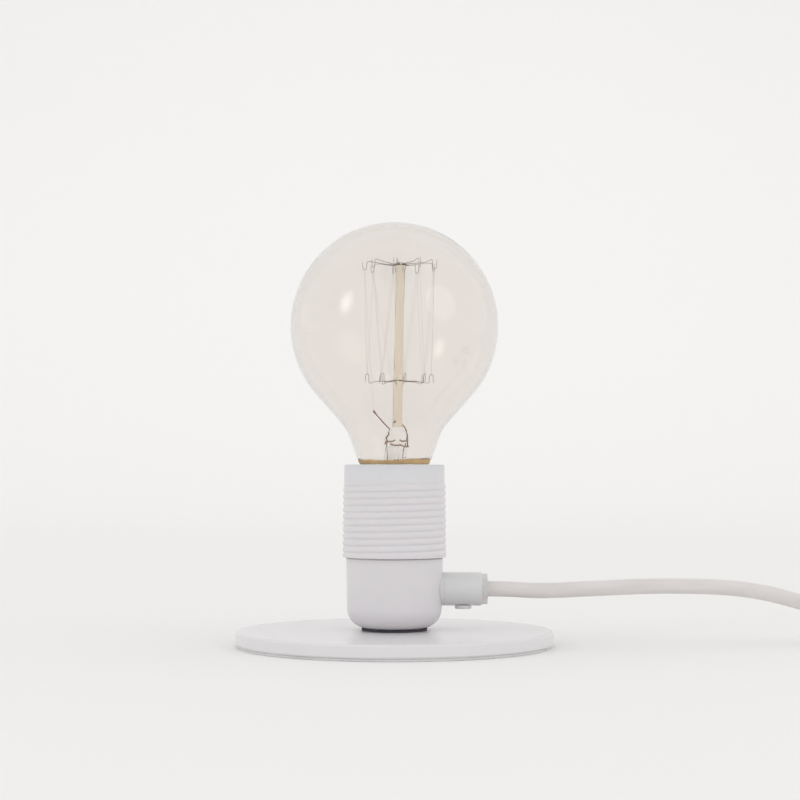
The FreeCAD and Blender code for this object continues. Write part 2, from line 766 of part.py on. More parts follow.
def switch_form(inset):
    """Outside of the hand switch, or its hollow when inset: plan and side outlines together."""
    half = SWITCH_HALF - 4 * inset
    wide = SWITCH_WIDE - inset
    nose = 7.0 - inset
    low = inset
    high = SWITCH_TOP - inset
    grip = 24.0 - inset
    end_low = 1.5 + low
    end_high = 13.6 - inset
    plan = []
    for x, y, bend in (
        (-half, -nose, 2.5), (-grip, -wide, 9), (grip, -wide, 9), (half, -nose, 2.5),
        (half, nose, 2.5), (grip, wide, 9), (-grip, wide, 9), (-half, nose, 2.5),
    ):
        plan.append((SWITCH_CENTRE + vec(x, y, -1), bend))
    side = []
    for x, z, bend in (
        (-half, end_low, 2), (-half + 7, low, 6), (half - 7, low, 6), (half, end_low, 2),
        (half, end_high, 2), (17, high, 14), (-17, high, 14), (-half, end_high, 2),
    ):
        side.append((SWITCH_CENTRE + vec(x, -30, z), bend))
    return plate(plan, vec(0, 0, 30)).common(plate(side, vec(0, 60, 0)))


def switch_pieces():
    """Inline hand switch: two shells, rocker, contacts, terminals, screws and the cord's ends."""
    centre = SWITCH_CENTRE
    form = switch_form(0)
    hollow = switch_form(SWITCH_WALL)
    split = SWITCH_CORD_Z
    low_half = box(centre + vec(-50, -50, -5), centre + vec(50, 50, split))
    high_half = box(centre + vec(-50, -50, split), centre + vec(50, 50, 40))
    cord_way = rod(CORD_RADIUS + 0.05, centre + vec(-50, 0, split), centre + vec(50, 0, split))
    shell = form.cut(hollow).cut(cord_way)
    lower = shell.common(low_half)
    upper = shell.common(high_half)
    pivot = centre + vec(0, 0, PIVOT_Z)
    window_x = ROCKER_RADIUS + 0.5
    window_y = ROCKER_HALF_WIDTH + 0.45
    upper = upper.cut(box(pivot + vec(-window_x, -window_y, -2), pivot + vec(window_x, window_y, 20)))
    lug_in = ROCKER_HALF_WIDTH + 0.5
    lug_thick = 1.8
    lug_top = SWITCH_TOP - SWITCH_WALL - PIVOT_Z + 0.4
    for side in (-1, 1):
        y_low = min(side * lug_in, side * (lug_in + lug_thick))
        lug = box(pivot + vec(-3, y_low, -3), pivot + vec(3, y_low + lug_thick, lug_top))
        upper = upper.fuse(lug)
    upper = upper.cut(rod(1.35, pivot + vec(0, -8, 0), pivot + vec(0, 8, 0)))
    screw_spots = [centre + vec(-18, 8.2, 0), centre + vec(18, -8.2, 0)]
    screws = []
    for spot in screw_spots:
        post = upright(3.2, 1.0, split, spot.x, spot.y).common(form)
        boss = upright(3.2, split, 15.5, spot.x, spot.y).common(form)
        lower = lower.fuse(post)
        upper = upper.fuse(boss)
        lower = lower.cut(upright(1.6, -1, split + 1, spot.x, spot.y))
        lower = lower.cut(upright(2.7, -1, 2.4, spot.x, spot.y))
        upper = upper.cut(upright(1.3, split - 1, 14.0, spot.x, spot.y))
        head = upright(2.5, 0.6, 2.4, spot.x, spot.y)
        shank = upright(1.3, 2.4, 13.6, spot.x, spot.y)
        recess = box(vec(spot.x - 3, spot.y - 0.35, 0), vec(spot.x + 3, spot.y + 0.35, 1.3))
        screws.append(head.cut(recess).fuse(shank).removeSplitter())
    end_rise = 4.4
    rocker_side = [
        (pivot + vec(-5.2, -ROCKER_HALF_WIDTH, -2.6), 1.0),
        (pivot + vec(5.2, -ROCKER_HALF_WIDTH, -2.6), 1.0),
        (pivot + vec(ROCKER_RADIUS, -ROCKER_HALF_WIDTH, 0.4), 1.0),
        (pivot + vec(6.3, -ROCKER_HALF_WIDTH, end_rise), 0.7),
        (pivot + vec(0, -ROCKER_HALF_WIDTH, 3.0), 14.0),
        (pivot + vec(-6.3, -ROCKER_HALF_WIDTH, end_rise), 0.7),
        (pivot + vec(-ROCKER_RADIUS, -ROCKER_HALF_WIDTH, 0.4), 1.0),
    ]
    rocker = plate(rocker_side, vec(0, 2 * ROCKER_HALF_WIDTH, 0))
    rocker = rocker.common(rod(ROCKER_RADIUS, pivot + vec(0, -10, 0), pivot + vec(0, 10, 0)))
    stub = ROCKER_HALF_WIDTH + 2.1
    rocker = rocker.fuse(rod(1.2, pivot + vec(0, -stub, 0), pivot + vec(0, stub, 0))).removeSplitter()
    rocker.rotate(pivot, vec(0, 1, 0), ROCKER_REST)
    contacts = []
    terminals = []
    terminal_screws = []
    ends = []
    cord_inner = 21.0
    strip_low = 5.2
    strip_top = 5.6
    for side in (-1, 1):
        strip_low_x, strip_high_x = sorted((side * 3, side * 14))
        corner = centre + vec(strip_low_x, -1.5, strip_low)
        contacts.append(box(corner, centre + vec(strip_high_x, 1.5, strip_top)))
        spot = centre + vec(side * 11.5, 0, 0)
        terminals.append(box(spot + vec(-2.5, -2.4, SWITCH_WALL), spot + vec(2.5, 2.4, strip_low)))
        terminal_screws.append(upright(1.6, strip_top, 7.0, spot.x, spot.y))
        outer_end = centre + vec(side * SWITCH_HALF, 0, split)
        ends.append(rod(CORD_RADIUS, outer_end, centre + vec(side * cord_inner, 0, split)))
    neutral = rod(1.1, centre + vec(-cord_inner, -3.6, 4.4), centre + vec(cord_inner, -3.6, 4.4))
    return {
        "switch_lower_shell": lower,
        "switch_upper_shell": upper,
        "switch_rocker": rocker,
        "switch_contacts": Part.makeCompound(contacts),
        "switch_terminals": Part.makeCompound(terminals),
        "switch_terminal_screws": Part.makeCompound(terminal_screws),
        "switch_screws": Part.makeCompound(screws),
        "switch_cord_ends": Part.makeCompound(ends),
        "switch_neutral_core": neutral,
    }


# ---------------------------------------------------------------- plug


def plug_pieces():
    """Flat two-pin plug lying on the table, its pins pointing past the lamp's base.

    It is drawn along X from the cord's end in the relief, and turned about that end.
    """
    relief_end = -PLUG_RELIEF
    face = relief_end - PLUG_BODY
    wide = PLUG_HALF_WIDTH
    seat = 14.0

    def at(x, y=0.0, z=0.0):
        return PLUG_CORD_END + vec(x, y, z)

    plan = []
    for x, y, bend in (
        (face, -wide, 2.5), (face + 13, -wide, 10), (relief_end - 5, -8, 8), (relief_end, -7, 1),
        (relief_end, 7, 1), (relief_end - 5, 8, 8), (face + 13, wide, 10), (face, wide, 2.5),
    ):
        plan.append((at(x, y, -20), bend))
    side = []
    thick = PLUG_CORD_END.z
    thin = 6.2
    for x, z, bend in (
        (face, -thick, 2.0), (relief_end, -thin, 1.5), (relief_end, thin, 1.5), (face, thick, 2.0),
    ):
        side.append((at(x, -30, z), bend))
    body = plate(plan, vec(0, 0, 40)).common(plate(side, vec(0, 60, 0)))
    pins = []
    sleeves = []
    for side_way in (-1, 1):
        y = side_way * PIN_SPACING / 2
        tip = face - PIN_LENGTH
        core = rod(PIN_CORE_RADIUS, at(tip + PIN_BARE, y), at(face + seat, y))
        bare = rod(PIN_RADIUS, at(tip, y), at(tip + PIN_BARE, y))
        ends = [edge for edge in bare.Edges if edge.Closed and abs(edge.CenterOfMass.x - at(tip).x) < 0.1]
        bare = bare.makeFillet(1.2, ends)
        body = body.cut(rod(PIN_CORE_RADIUS, at(face - 1, y), at(face + seat, y)))
        pins.append(bare.fuse(core).removeSplitter())
        sleeve = rod(PIN_SLEEVE_RADIUS, at(tip + PIN_BARE, y), at(face, y))
        sleeves.append(sleeve.cut(rod(PIN_CORE_RADIUS, at(tip, y), at(face + 1, y))))
    relief = Part.makeCone(6.0, 3.9, PLUG_RELIEF, at(relief_end), vec(1, 0, 0))
    relief = relief.cut(rod(CORD_RADIUS, at(relief_end + 6), at(5)))
    inner = rod(CORD_RADIUS, at(relief_end + 6), at(0))
    pieces = {
        "plug_body": body,
        "plug_pins": Part.makeCompound(pins),
        "plug_pin_sleeves": Part.makeCompound(sleeves),
        "plug_relief": relief,
        "cord_in_plug": inner,
    }
    for piece in pieces.values():
        piece.rotate(PLUG_CORD_END, vec(0, 0, 1), PLUG_TURN)
    return pieces


# ---------------------------------------------------------------- the whole lamp


def main():
    os.makedirs("parts", exist_ok=True)
    pieces = {}
    pieces.update(base_pieces())
    pieces["lampholder_cup"] = lampholder_cup()
    pieces["lampholder_sleeve"] = lampholder_sleeve()
    pieces.update(carrier_pieces())
    pieces.update(inlet_pieces())
    pieces["bulb_glass"] = bulb_glass()
    pieces.update(cap_pieces())
    mount = mount_pieces()
    stem = stem_pieces()
    stem["stem_rod"] = stem["stem_rod"].cut([*mount["top_hooks"].Solids, *mount["bottom_hooks"].Solids])
    stem["stem_pinch"] = stem["stem_pinch"].cut(mount["lead_wires"].Solids)
    stem["stem_flare"] = stem["stem_flare"].cut(mount["lead_wires"].Solids)
    pieces.update(stem)
    pieces.update(mount)
    pieces.update(cord_pieces())
    pieces.update(switch_pieces())
    pieces.update(plug_pieces())
    for name, shape in pieces.items():
        if not shape.isValid() or shape.Volume <= 0:
            raise ValueError(name + " is not a sound solid")
        shape.exportStep("parts/" + name + ".step")
    print(len(pieces), "nodes")


main()
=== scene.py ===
import math
import random

import bmesh
import bpy
from mathutils import Matrix, Vector


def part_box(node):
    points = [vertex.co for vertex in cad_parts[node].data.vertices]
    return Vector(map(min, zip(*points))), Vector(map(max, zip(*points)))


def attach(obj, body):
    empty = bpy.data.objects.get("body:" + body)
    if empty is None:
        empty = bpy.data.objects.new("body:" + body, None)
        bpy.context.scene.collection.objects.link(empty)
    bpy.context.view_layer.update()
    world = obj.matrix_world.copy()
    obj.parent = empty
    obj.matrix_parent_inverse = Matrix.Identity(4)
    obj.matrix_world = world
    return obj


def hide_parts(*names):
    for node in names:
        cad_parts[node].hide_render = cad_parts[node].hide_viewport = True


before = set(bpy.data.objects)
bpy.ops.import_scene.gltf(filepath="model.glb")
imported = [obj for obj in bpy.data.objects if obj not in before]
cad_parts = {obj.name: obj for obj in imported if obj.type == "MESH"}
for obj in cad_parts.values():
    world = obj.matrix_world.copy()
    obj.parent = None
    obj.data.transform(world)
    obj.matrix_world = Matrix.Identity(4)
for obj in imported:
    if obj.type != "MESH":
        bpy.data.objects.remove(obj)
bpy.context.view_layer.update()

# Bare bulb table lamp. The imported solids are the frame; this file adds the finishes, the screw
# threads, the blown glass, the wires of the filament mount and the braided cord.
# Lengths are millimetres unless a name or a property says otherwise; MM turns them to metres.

bl_info = {
    "name": "Bare bulb table lamp",
    "version": (1, 0, 0),
    "blender": (4, 5, 0),
    "location": "3D View > Sidebar > Lamp",
    "description": "Dresses the packed lamp with its finishes, threads, glass, wires and cord",
    "category": "Object",
}

MM = 0.001
TURN = 2 * math.pi


def node_box(node):
    """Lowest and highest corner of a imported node, in millimetres."""
    low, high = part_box(node)
    return low / MM, high / MM


SLEEVE_LOW, SLEEVE_HIGH = node_box("lampholder_sleeve")
GLASS_LOW, GLASS_HIGH = node_box("bulb_glass")
CAP_LOW, CAP_HIGH = node_box("cap_shell")
PAD_HIGH = node_box("base_pad")[1]
TIE_LOW, TIE_HIGH = node_box("coil_tie")

# ---------------------------------------------------------------- colours


def linear(colour):
    """Linear red, green and blue of an sRGB hex colour."""
    channels = [int(colour[place:place + 2], 16) / 255 for place in (1, 3, 5)]
    return tuple(c / 12.92 if c <= 0.04045 else ((c + 0.055) / 1.055) ** 2.4 for c in channels)


def colour_property(name, description, colour):
    """A colour that a user may change, with its sRGB default."""
    return bpy.props.FloatVectorProperty(
        name=name, description=description, subtype="COLOR", size=3, min=0, max=1,
        default=linear(colour),
    )


def length_property(name, description, millimetres):
    """A length that a user may change, with its default in millimetres."""
    return bpy.props.FloatProperty(
        name=name, description=description, default=millimetres * MM, min=0, unit="LENGTH",
        precision=5,
    )


class LampSizes(bpy.types.PropertyGroup):
    """Sizes of the pieces that are made here."""

    thread_pitch: length_property("Sleeve thread pitch", "Rise of the sleeve's thread in one turn", 2.5)
    thread_depth: length_property("Sleeve thread depth", "Crest to root of the sleeve's thread", 0.44)
    cap_pitch: length_property("Cap thread pitch", "Rise of the cap's rolled thread in one turn", 3.629)
    cap_depth: length_property("Cap thread depth", "Depth of the bulb cap's rolled thread", 0.72)
    glass_wall: length_property("Glass wall", "Thickness of the blown glass", 0.8)
    support_wire: length_property("Support wire", "Thickness of the wires that hold the filament", 0.2)
    lead_wire: length_property("Lead wire", "Thickness of the copper wires from the pinch", 0.44)
    filament: length_property("Filament", "Thickness of the filament", 0.052)
    cord_diameter: length_property("Cord diameter", "Outer diameter of the braided cord", 5.8)
    braid_pitch: length_property("Braid pitch", "Cord length in which a yarn moves by its width", 0.85)


class LampColours(bpy.types.PropertyGroup):
    """Colours of the finishes that show most."""

    plate: colour_property("Plate", "Powder coat of the base plate", "#E0DEDF")
    holder: colour_property("Lampholder", "Moulded cup and sleeve", "#DDDADC")
    inlet: colour_property("Cord inlet", "Moulded side inlet and its clamp screw", "#D7D7D7")
    cord: colour_property("Cord", "Braided sleeve of the cord", "#EAE4E2")
    glass: colour_property("Glass", "Tint of the bulb's glass", "#F6F3F0")
    rod: colour_property("Glass rod", "Tint of the rod that holds the wires", "#FFF6E3")
    cement: colour_property("Cement", "Baked cement under the glass", "#F0CC98")
    floor: colour_property("Floor", "Floor and backdrop", "#F1F0EE")


# ---------------------------------------------------------------- shared shapes


def ramp(value, start, length):
    """How far a value is on its way from a start over a length, as a share between 0 and 1."""
    return min(max((value - start) / length, 0.0), 1.0)


def rounded_profile(corners, closed=True, steps=6):
    """Points of an outline through (radius, height, bend radius) corners, its bends drawn as arcs."""
    points = []
    count = len(corners)
    for index, (radius, height, bend) in enumerate(corners):
        here = Vector((radius, height))
        if bend <= 0 or (not closed and index in (0, count - 1)):
            points.append(here)
            continue
        back = (Vector(corners[index - 1][:2]) - here).normalized()
        out = (Vector(corners[(index + 1) % count][:2]) - here).normalized()
        half = back.angle(out) / 2
        centre = here + (back + out).normalized() * (bend / math.sin(half))
        start = here + back * (bend / math.tan(half)) - centre
        end = here + out * (bend / math.tan(half)) - centre
        sweep = start.angle(end)
        for step in range(steps + 1):
            share = step / steps
            arm = start * math.sin((1 - share) * sweep) + end * math.sin(share * sweep)
            points.append(centre + arm / math.sin(sweep))
    return points


def divided(points, spacing, closed=True):
    """The same outline with no run longer than spacing."""
    finer = []
    ends = points[1:] + points[:1] if closed else points[1:]
    for start, end in zip(points, ends):
        pieces = max(1, math.ceil((end - start).length / spacing))
        finer += [start.lerp(end, piece / pieces) for piece in range(pieces)]
    return finer if closed else finer + [points[-1]]


def turned(profile, sides, shape=None, closed=True):
    """Vertices and faces of an outline turned about the lamp's axis.

    shape(radius, height, angle) gives the radius and height of a point, as a thread or ripple needs.
    """
    vertices = []
    for side in range(sides):
        angle = TURN * side / sides
        for radius, height in profile:
            if shape:
                radius, height = shape(radius, height, angle)
            vertices.append((radius * math.cos(angle), radius * math.sin(angle), height))
    return vertices, grid_faces(sides, len(profile), True, closed)


def grid_faces(columns, rows, wrap_columns, wrap_rows):
    """Four-sided faces between neighbouring columns of points."""
    faces = []
    for column in range(columns if wrap_columns else columns - 1):
        here = column * rows
        beside = (column + 1) % columns * rows
        for row in range(rows if wrap_rows else rows - 1):
            below = (row + 1) % rows
            faces.append((here + row, beside + row, beside + below, here + below))
    return faces


def place_piece(piece, maker, body, nodes):
    """Gives a new piece its finish, its body and the nodes that it stands for."""
    piece.data.materials.append(finish(maker))
    bpy.context.scene.collection.objects.link(piece)
    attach(piece, body)
    if nodes:
        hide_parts(*nodes)
    return piece


def mesh_piece(name, vertices, faces, maker, body, nodes, place=None):
    """A smooth-shaded mesh from millimetre points, doubled points joined and faces turned outwards."""
    nearest = 0.5e-6
    sharp_from = math.radians(50)
    data = bpy.data.meshes.new(name)
    data.from_pydata([Vector(point) * MM for point in vertices], [], faces)
    shape = bmesh.new()
    shape.from_mesh(data)
    bmesh.ops.remove_doubles(shape, verts=shape.verts, dist=nearest)
    bmesh.ops.recalc_face_normals(shape, faces=shape.faces)
    if place:
        shape.transform(place)
    shape.to_mesh(data)
    shape.free()
    data.shade_smooth()
    data.set_sharp_from_angle(angle=sharp_from)
    return place_piece(bpy.data.objects.new(name, data), maker, body, nodes)


def turned_piece(
    name, profile, sides, maker, body, nodes, shape=None, closed=True, place=None, move=None
):
    """A piece that is an outline turned about an axis; move displaces each of its points."""
    vertices, faces = turned(profile, sides, shape, closed)
    if move:
        vertices = [move(point) for point in vertices]
    return mesh_piece(name, vertices, faces, maker, body, nodes, place)


def soft_curve(name, lines, order=3):
    """Curve data with a smooth spline for each line, whose points are (place, thickness share) pairs."""
    data = bpy.data.curves.new(name, "CURVE")
    data.dimensions = "3D"
    for line in lines:
        spline = data.splines.new("NURBS")
        spline.points.add(len(line) - 1)
        for control, (point, share) in zip(spline.points, line):
            control.co = (*(Vector(point) * MM), 1)
            control.radius = share
        spline.order_u = order
        spline.use_endpoint_u = True
    return data


def wire_piece(name, lines, thickness, maker, nodes):
    """Round wires of the bulb's mount; thickness is in metres."""
    data = soft_curve(name, [[(askew(point), share) for point, share in line] for line in lines])
    data.bevel_depth = thickness / 2
    data.bevel_resolution = 3
    data.resolution_u = 8
    data.use_fill_caps = True
    return place_piece(bpy.data.objects.new(name, data), maker, "bulb", nodes)


def around(radius, degrees, height):
    """A point at a radius, an angle and a height about the lamp's axis."""
    angle = math.radians(degrees)
    return Vector((radius * math.cos(angle), radius * math.sin(angle), height))


def soft_line(points, per_point):
    """Points in metres of the smooth spline that has a cord's route as its control points."""
    data = soft_curve("route", [[(point, 1) for point in points]])
    data.splines[0].resolution_u = per_point
    holder = bpy.data.objects.new("route", data)
    mesh = bpy.data.meshes.new_from_object(holder)
    line = [vertex.co.copy() for vertex in mesh.vertices]
    bpy.data.meshes.remove(mesh)
    bpy.data.objects.remove(holder)
    bpy.data.curves.remove(data)
    return line


def cord_piece(name, points, per_point, diameter, nodes):
    """A tube along a cord's smooth line, mapped so that U is metres along it and V is once around it."""
    line = soft_line(points, per_point)
    sides = 28
    vertices = []
    stations = []
    along = 0.0
    side_way = Vector((0, 1, 0))
    last = len(line) - 1
    for index, centre in enumerate(line):
        tangent = (line[min(index + 1, last)] - line[max(index - 1, 0)]).normalized()
        side_way = (side_way - tangent * side_way.dot(tangent)).normalized()
        rise = tangent.cross(side_way)
        if index:
            along += (centre - line[index - 1]).length
        stations.append(along)
        for side in range(sides):
            angle = TURN * side / sides
            arm = side_way * math.cos(angle) + rise * math.sin(angle)
            vertices.append(centre + arm * (diameter / 2))
    data = bpy.data.meshes.new(name)
    data.from_pydata(vertices, [], grid_faces(len(line), sides, False, True))
    layer = data.uv_layers.new(name="UVMap")
    for polygon in data.polygons:
        station, side = divmod(polygon.index, sides)
        corners = ((0, 0), (1, 0), (1, 1), (0, 1))
        for loop, (on, up) in zip(polygon.loop_indices, corners):
            layer.data[loop].uv = (stations[station + on], (side + up) / sides)
    data.shade_smooth()
    piece = bpy.data.objects.new(name, data)
    place_piece(piece, braided_textile, "root", nodes)
    return piece, line


# ---------------------------------------------------------------- materials

# A Mix node's sockets share their names between numbers and colours, so they go by their places.
FACTOR = 0
NUMBER_A = 2
NUMBER_B = 3
COLOUR_A = 6
COLOUR_B = 7
COLOUR_RESULT = 2


def rgba(colour):
    """Linear colour with full opacity, from a hex string or from linear channels."""
    rgb = linear(colour) if isinstance(colour, str) else tuple(colour)
    return (*rgb, 1)


def shaded(colour, share):
    """Linear channels made darker or lighter by a share."""
    return tuple(min(1.0, channel * share) for channel in colour)


def add_node(tree, kind, values=None, links=None, **settings):
    """Adds a node: settings are its own options, values its input values, links its inputs' sources."""
    node = tree.nodes.new(kind)
    for name, value in settings.items():
        setattr(node, name, value)
    for socket, value in (values or {}).items():
        node.inputs[socket].default_value = value
    for socket, source in (links or {}).items():
        tree.links.new(node.inputs[socket], source)
    return node


def new_material(name, colour, roughness, **values):
    """A material with its Principled surface; other values go to the sockets they are named for."""
    material = bpy.data.materials.new(name)
    material.use_nodes = True
    tree = material.node_tree
    surface = tree.nodes["Principled BSDF"]
    surface.inputs["Base Color"].default_value = rgba(colour)
    surface.inputs["Roughness"].default_value = roughness
    for socket, value in values.items():
        surface.inputs[socket.replace("_", " ")].default_value = value
    return material, tree, surface


def clouds(tree, size, detail, stretch):
    """Noise fixed to the piece, in patches of a size in millimetres; stretch scales it along X, Y, Z."""
    place = add_node(tree, "ShaderNodeTexCoord")
    mapping = add_node(tree, "ShaderNodeMapping", {"Scale": stretch}, {"Vector": place.outputs["Object"]})
    return add_node(
        tree, "ShaderNodeTexNoise", {"Scale": 1 / (size * MM), "Detail": detail},
        {"Vector": mapping.outputs[0]},
    ).outputs["Fac"]


def mottle(tree, surface, shades, patch, detail=2.0, stretch=(1, 1, 1)):
    """Cloudy change between a dark and a light shade, which becomes the surface's colour."""
    dark, light = shades
    mix = add_node(
        tree, "ShaderNodeMix", {COLOUR_A: rgba(dark), COLOUR_B: rgba(light)},
        {FACTOR: clouds(tree, patch, detail, stretch)}, data_type="RGBA",
    )
    tree.links.new(surface.inputs["Base Color"], mix.outputs[COLOUR_RESULT])
    return mix


def raise_grain(tree, surface, height, source):
    """Bump of a height in millimetres from a source of shares between 0 and 1."""
    bump = add_node(
        tree, "ShaderNodeBump", {"Distance": height * MM, "Strength": 1.0}, {"Height": source}
    )
    tree.links.new(surface.inputs["Normal"], bump.outputs[0])


def simple_finish(
    name, colour, roughness, shades, patch, patch_detail=2.0, patch_stretch=(1, 1, 1),
    grain=0.0, height=0.0, grain_detail=2.0, grain_stretch=(1, 1, 1), **values
):
    """A finish of two cloudy shades in patches, with a relief of fine grain; sizes in millimetres."""
    material, tree, surface = new_material(name, colour, roughness, **values)
    mottle(tree, surface, shades, patch, patch_detail, patch_stretch)
    if grain:
        raise_grain(tree, surface, height, clouds(tree, grain, grain_detail, grain_stretch))
    return material


# Real grain of moulded, plated and coated surfaces is 0.02 to 0.1 mm wide, too fine to show in a
# picture where a pixel is 0.4 mm. The grains of 0.2 to 0.9 mm below are drawn that coarse so that
# they still show, as a broken shine.


def powder_coated_steel():
    """Steel, powder coated."""
    # An even white coat with a fine orange peel and a soft, blurred shine.
    colour = bpy.context.scene.lamp_colours.plate
    return simple_finish(
        "Steel, powder coated", colour, 0.26, (shaded(colour, 0.985), shaded(colour, 1.01)), patch=22,
        grain=0.9, height=0.003, Specular_IOR_Level=0.36,
    )


def pressed_felt():
    """Felt, needled."""
    # Tangled pale grey fibres with a dull, fuzzy edge.
    return simple_finish(
        "Felt, needled", "#DFDDDE", 0.95, ("#D2D0D1", "#EBEAEA"), patch=0.9, patch_detail=6,
        grain=0.25, height=0.16, grain_detail=5, Sheen_Weight=0.35, Sheen_Roughness=0.6,
    )


def zinc_plated_steel():
    """Steel, turned and zinc plated."""
    # Bluish silver with faint turning marks.
    return simple_finish(
        "Steel, zinc plated", "#C9CDD2", 0.3, ("#B7BCC2", "#D3D6DA"), patch=3,
        grain=0.25, height=0.01, grain_stretch=(1, 1, 6), Metallic=1.0,
    )


def fibre_as_painted_shade():
    """Vulcanised fibre, stamped."""
    # Near black and dull: a real fibre washer, whose near black is also painted shade
    # for the shadow line in the gap under the cup.
    return simple_finish(
        "Fibre, black painted shade", "#413F48", 0.8, ("#393740", "#4A4851"), patch=1.5, grain=0.2, height=0.02
    )


def moulded_holder_plastic():
    """Polyester moulding compound, moulded."""
    # Warm white with a satin skin and faint flow clouds; a little light goes in and softens edges.
    colour = bpy.context.scene.lamp_colours.holder
    return simple_finish(
        "Polyester moulding, satin", colour, 0.38, (shaded(colour, 0.975), shaded(colour, 1.01)), patch=9,
        grain=0.55, height=0.004, Subsurface_Weight=0.08, Subsurface_Scale=0.002,
    )


def moulded_inlet_plastic():
    """Nylon, moulded."""
    # A cooler white than the cup's, a little glossier.
    colour = bpy.context.scene.lamp_colours.inlet
    return simple_finish(
        "Nylon, moulded white", colour, 0.3, (shaded(colour, 0.96), shaded(colour, 1.0)), patch=6,
        grain=0.4, height=0.004,
    )


def clear_bush_plastic():
    """PVC, moulded clear."""
    # Lets the cord show through dimly, with a milky rim.
    return simple_finish(
        "PVC, moulded clear", "#F3F1EE", 0.16, ("#EBE7E2", "#F8F7F6"), patch=2,
        grain=0.5, height=0.004, IOR=1.4, Transmission_Weight=0.35,
    )


def heatproof_carrier():
    """Melamine, moulded."""
    # An off-white insulator with a chalky face.
    return simple_finish(
        "Insulator moulding, matt", "#D9D6CE", 0.6, ("#CFCBC2", "#E0DDD6"), patch=4,
        grain=0.35, height=0.012,
    )


def stamped_brass():
    """Brass, stamped."""
    # Yellow metal with soft rolling marks, slightly dulled.
    return simple_finish(
        "Brass, stamped", "#D8B56A", 0.32, ("#B9924C", "#E2C17A"), patch=2.5, patch_detail=4,
        grain=0.2, height=0.008, grain_stretch=(1, 8, 1), Metallic=1.0,
    )


def nickelled_shell():
    """Brass, drawn, thread rolled and nickel plated."""
    # Warm silver with the faint rings of the rolling tool.
    return simple_finish(
        "Brass, nickel plated", "#CFCAC2", 0.24, ("#BAB4AA", "#DAD6CF"), patch=3, patch_detail=3,
        grain=0.3, height=0.008, grain_stretch=(1, 1, 8), Metallic=1.0,
    )


def black_vitrite():
    """Black glass, fused in the cap."""
    # Jet black, with a glossy and slightly wavy face.
    return simple_finish(
        "Glass, fused black", "#141416", 0.16, ("#0E0E10", "#1D1D20"), patch=2,
        grain=1.6, height=0.03, IOR=1.52,
    )


def tin_solder():
    """Tin solder, domed by melting."""
    # Pale grey metal with soft dimples.
    return simple_finish(
        "Tin solder, domed", "#C2C3C6", 0.38, ("#AEB0B4", "#CFD0D2"), patch=1.2,
        grain=0.9, height=0.05, Metallic=1.0,
    )


def blown_glass():
    """Soda-lime glass, blown."""
    # A light smoky tint, mirror-smooth, with the faintest long waves.
    colour = bpy.context.scene.lamp_colours.glass
    return simple_finish(
        "Glass, blown and tinted", colour, 0.0, (shaded(colour, 0.985), shaded(colour, 1.01)),
        patch=30, patch_detail=1, grain=14, height=0.02, grain_detail=0, IOR=1.5, Transmission_Weight=1.0,
    )


def stem_glass():
    """Lead-free stem glass, pressed."""
    # Clear with slight draw lines. The IOR is below the glass's 1.5 so that the flare's thin wall
    # stays as bright as it is in the photograph.
    return simple_finish(
        "Glass, pressed stem", "#FDFDFD", 0.02, ("#FAFAFA", "#FFFFFF"), patch=4, patch_detail=1,
        grain=2.2, height=0.08, grain_detail=1, grain_stretch=(1, 1, 0.3), IOR=1.3, Transmission_Weight=1.0,
    )


def yellow_rod_glass():
    """Glass rod, drawn."""
    # Pale straw yellow, with draw lines that bend the light along it.
    colour = bpy.context.scene.lamp_colours.rod
    return simple_finish(
        "Glass, drawn yellow rod", colour, 0.03, (shaded(colour, 0.86), colour),
        patch=0.7, patch_detail=1, patch_stretch=(1, 1, 0.05),
        grain=0.9, height=0.12, grain_detail=1, grain_stretch=(1, 1, 0.08),
        IOR=1.4, Transmission_Weight=0.95,
    )


def drawn_support_wire():
    """Molybdenum, drawn."""
    # Red-brown near the rod, where the flame reached it, and greyer and paler out at the loops.
    burnt_within = 5.0
    clean_beyond = 12.5
    material, tree, surface = new_material("Molybdenum, drawn wire", "#8E837C", 0.42, Metallic=0.5)
    clean = mottle(tree, surface, ("#94857A", "#C4B8AE"), 1.2)
    place = add_node(tree, "ShaderNodeTexCoord")
    flat = add_node(
        tree, "ShaderNodeVectorMath", {1: (1, 1, 0)}, {0: place.outputs["Object"]}, operation="MULTIPLY"
    )
    reach = add_node(tree, "ShaderNodeVectorMath", links={0: flat.outputs[0]}, operation="LENGTH")
    burnt = add_node(
        tree, "ShaderNodeMapRange",
        {"From Min": burnt_within * MM, "From Max": clean_beyond * MM, "To Min": 0.9, "To Max": 0.0},
        {"Value": reach.outputs["Value"]},
    )
    tone = add_node(
        tree, "ShaderNodeMix", {COLOUR_B: rgba("#6A4636")},
        {FACTOR: burnt.outputs["Result"], COLOUR_A: clean.outputs[COLOUR_RESULT]}, data_type="RGBA",
    )
    tree.links.new(surface.inputs["Base Color"], tone.outputs[COLOUR_RESULT])
    return material


def oxidised_copper():
    """Copper, oxidised by the sealing flame."""
    # Red-brown to nearly black along the wire.
    return simple_finish(
        "Copper, flame oxidised", "#8A5136", 0.45, ("#5C3426", "#CC8E64"), patch=1.6, patch_detail=4,
        grain=0.35, height=0.04, Metallic=0.7,
    )


def borated_wire():
    """Copper-clad wire, borated and pressed in the glass."""
    # Orange brown with lighter smears.
    return simple_finish(
        "Copper-clad wire, borated", "#DDB48A", 0.4, ("#D39A68", "#FBE3C4"), patch=0.9, patch_detail=3,
        grain=0.35, height=0.04,
    )


def filament_wire():
    """Carbonised filament."""
    # A hair-thin, dull grey thread.
    return simple_finish("Filament, carbonised", "#BDB5AF", 0.6, ("#B4ABA3", "#C6BEB8"), patch=2)


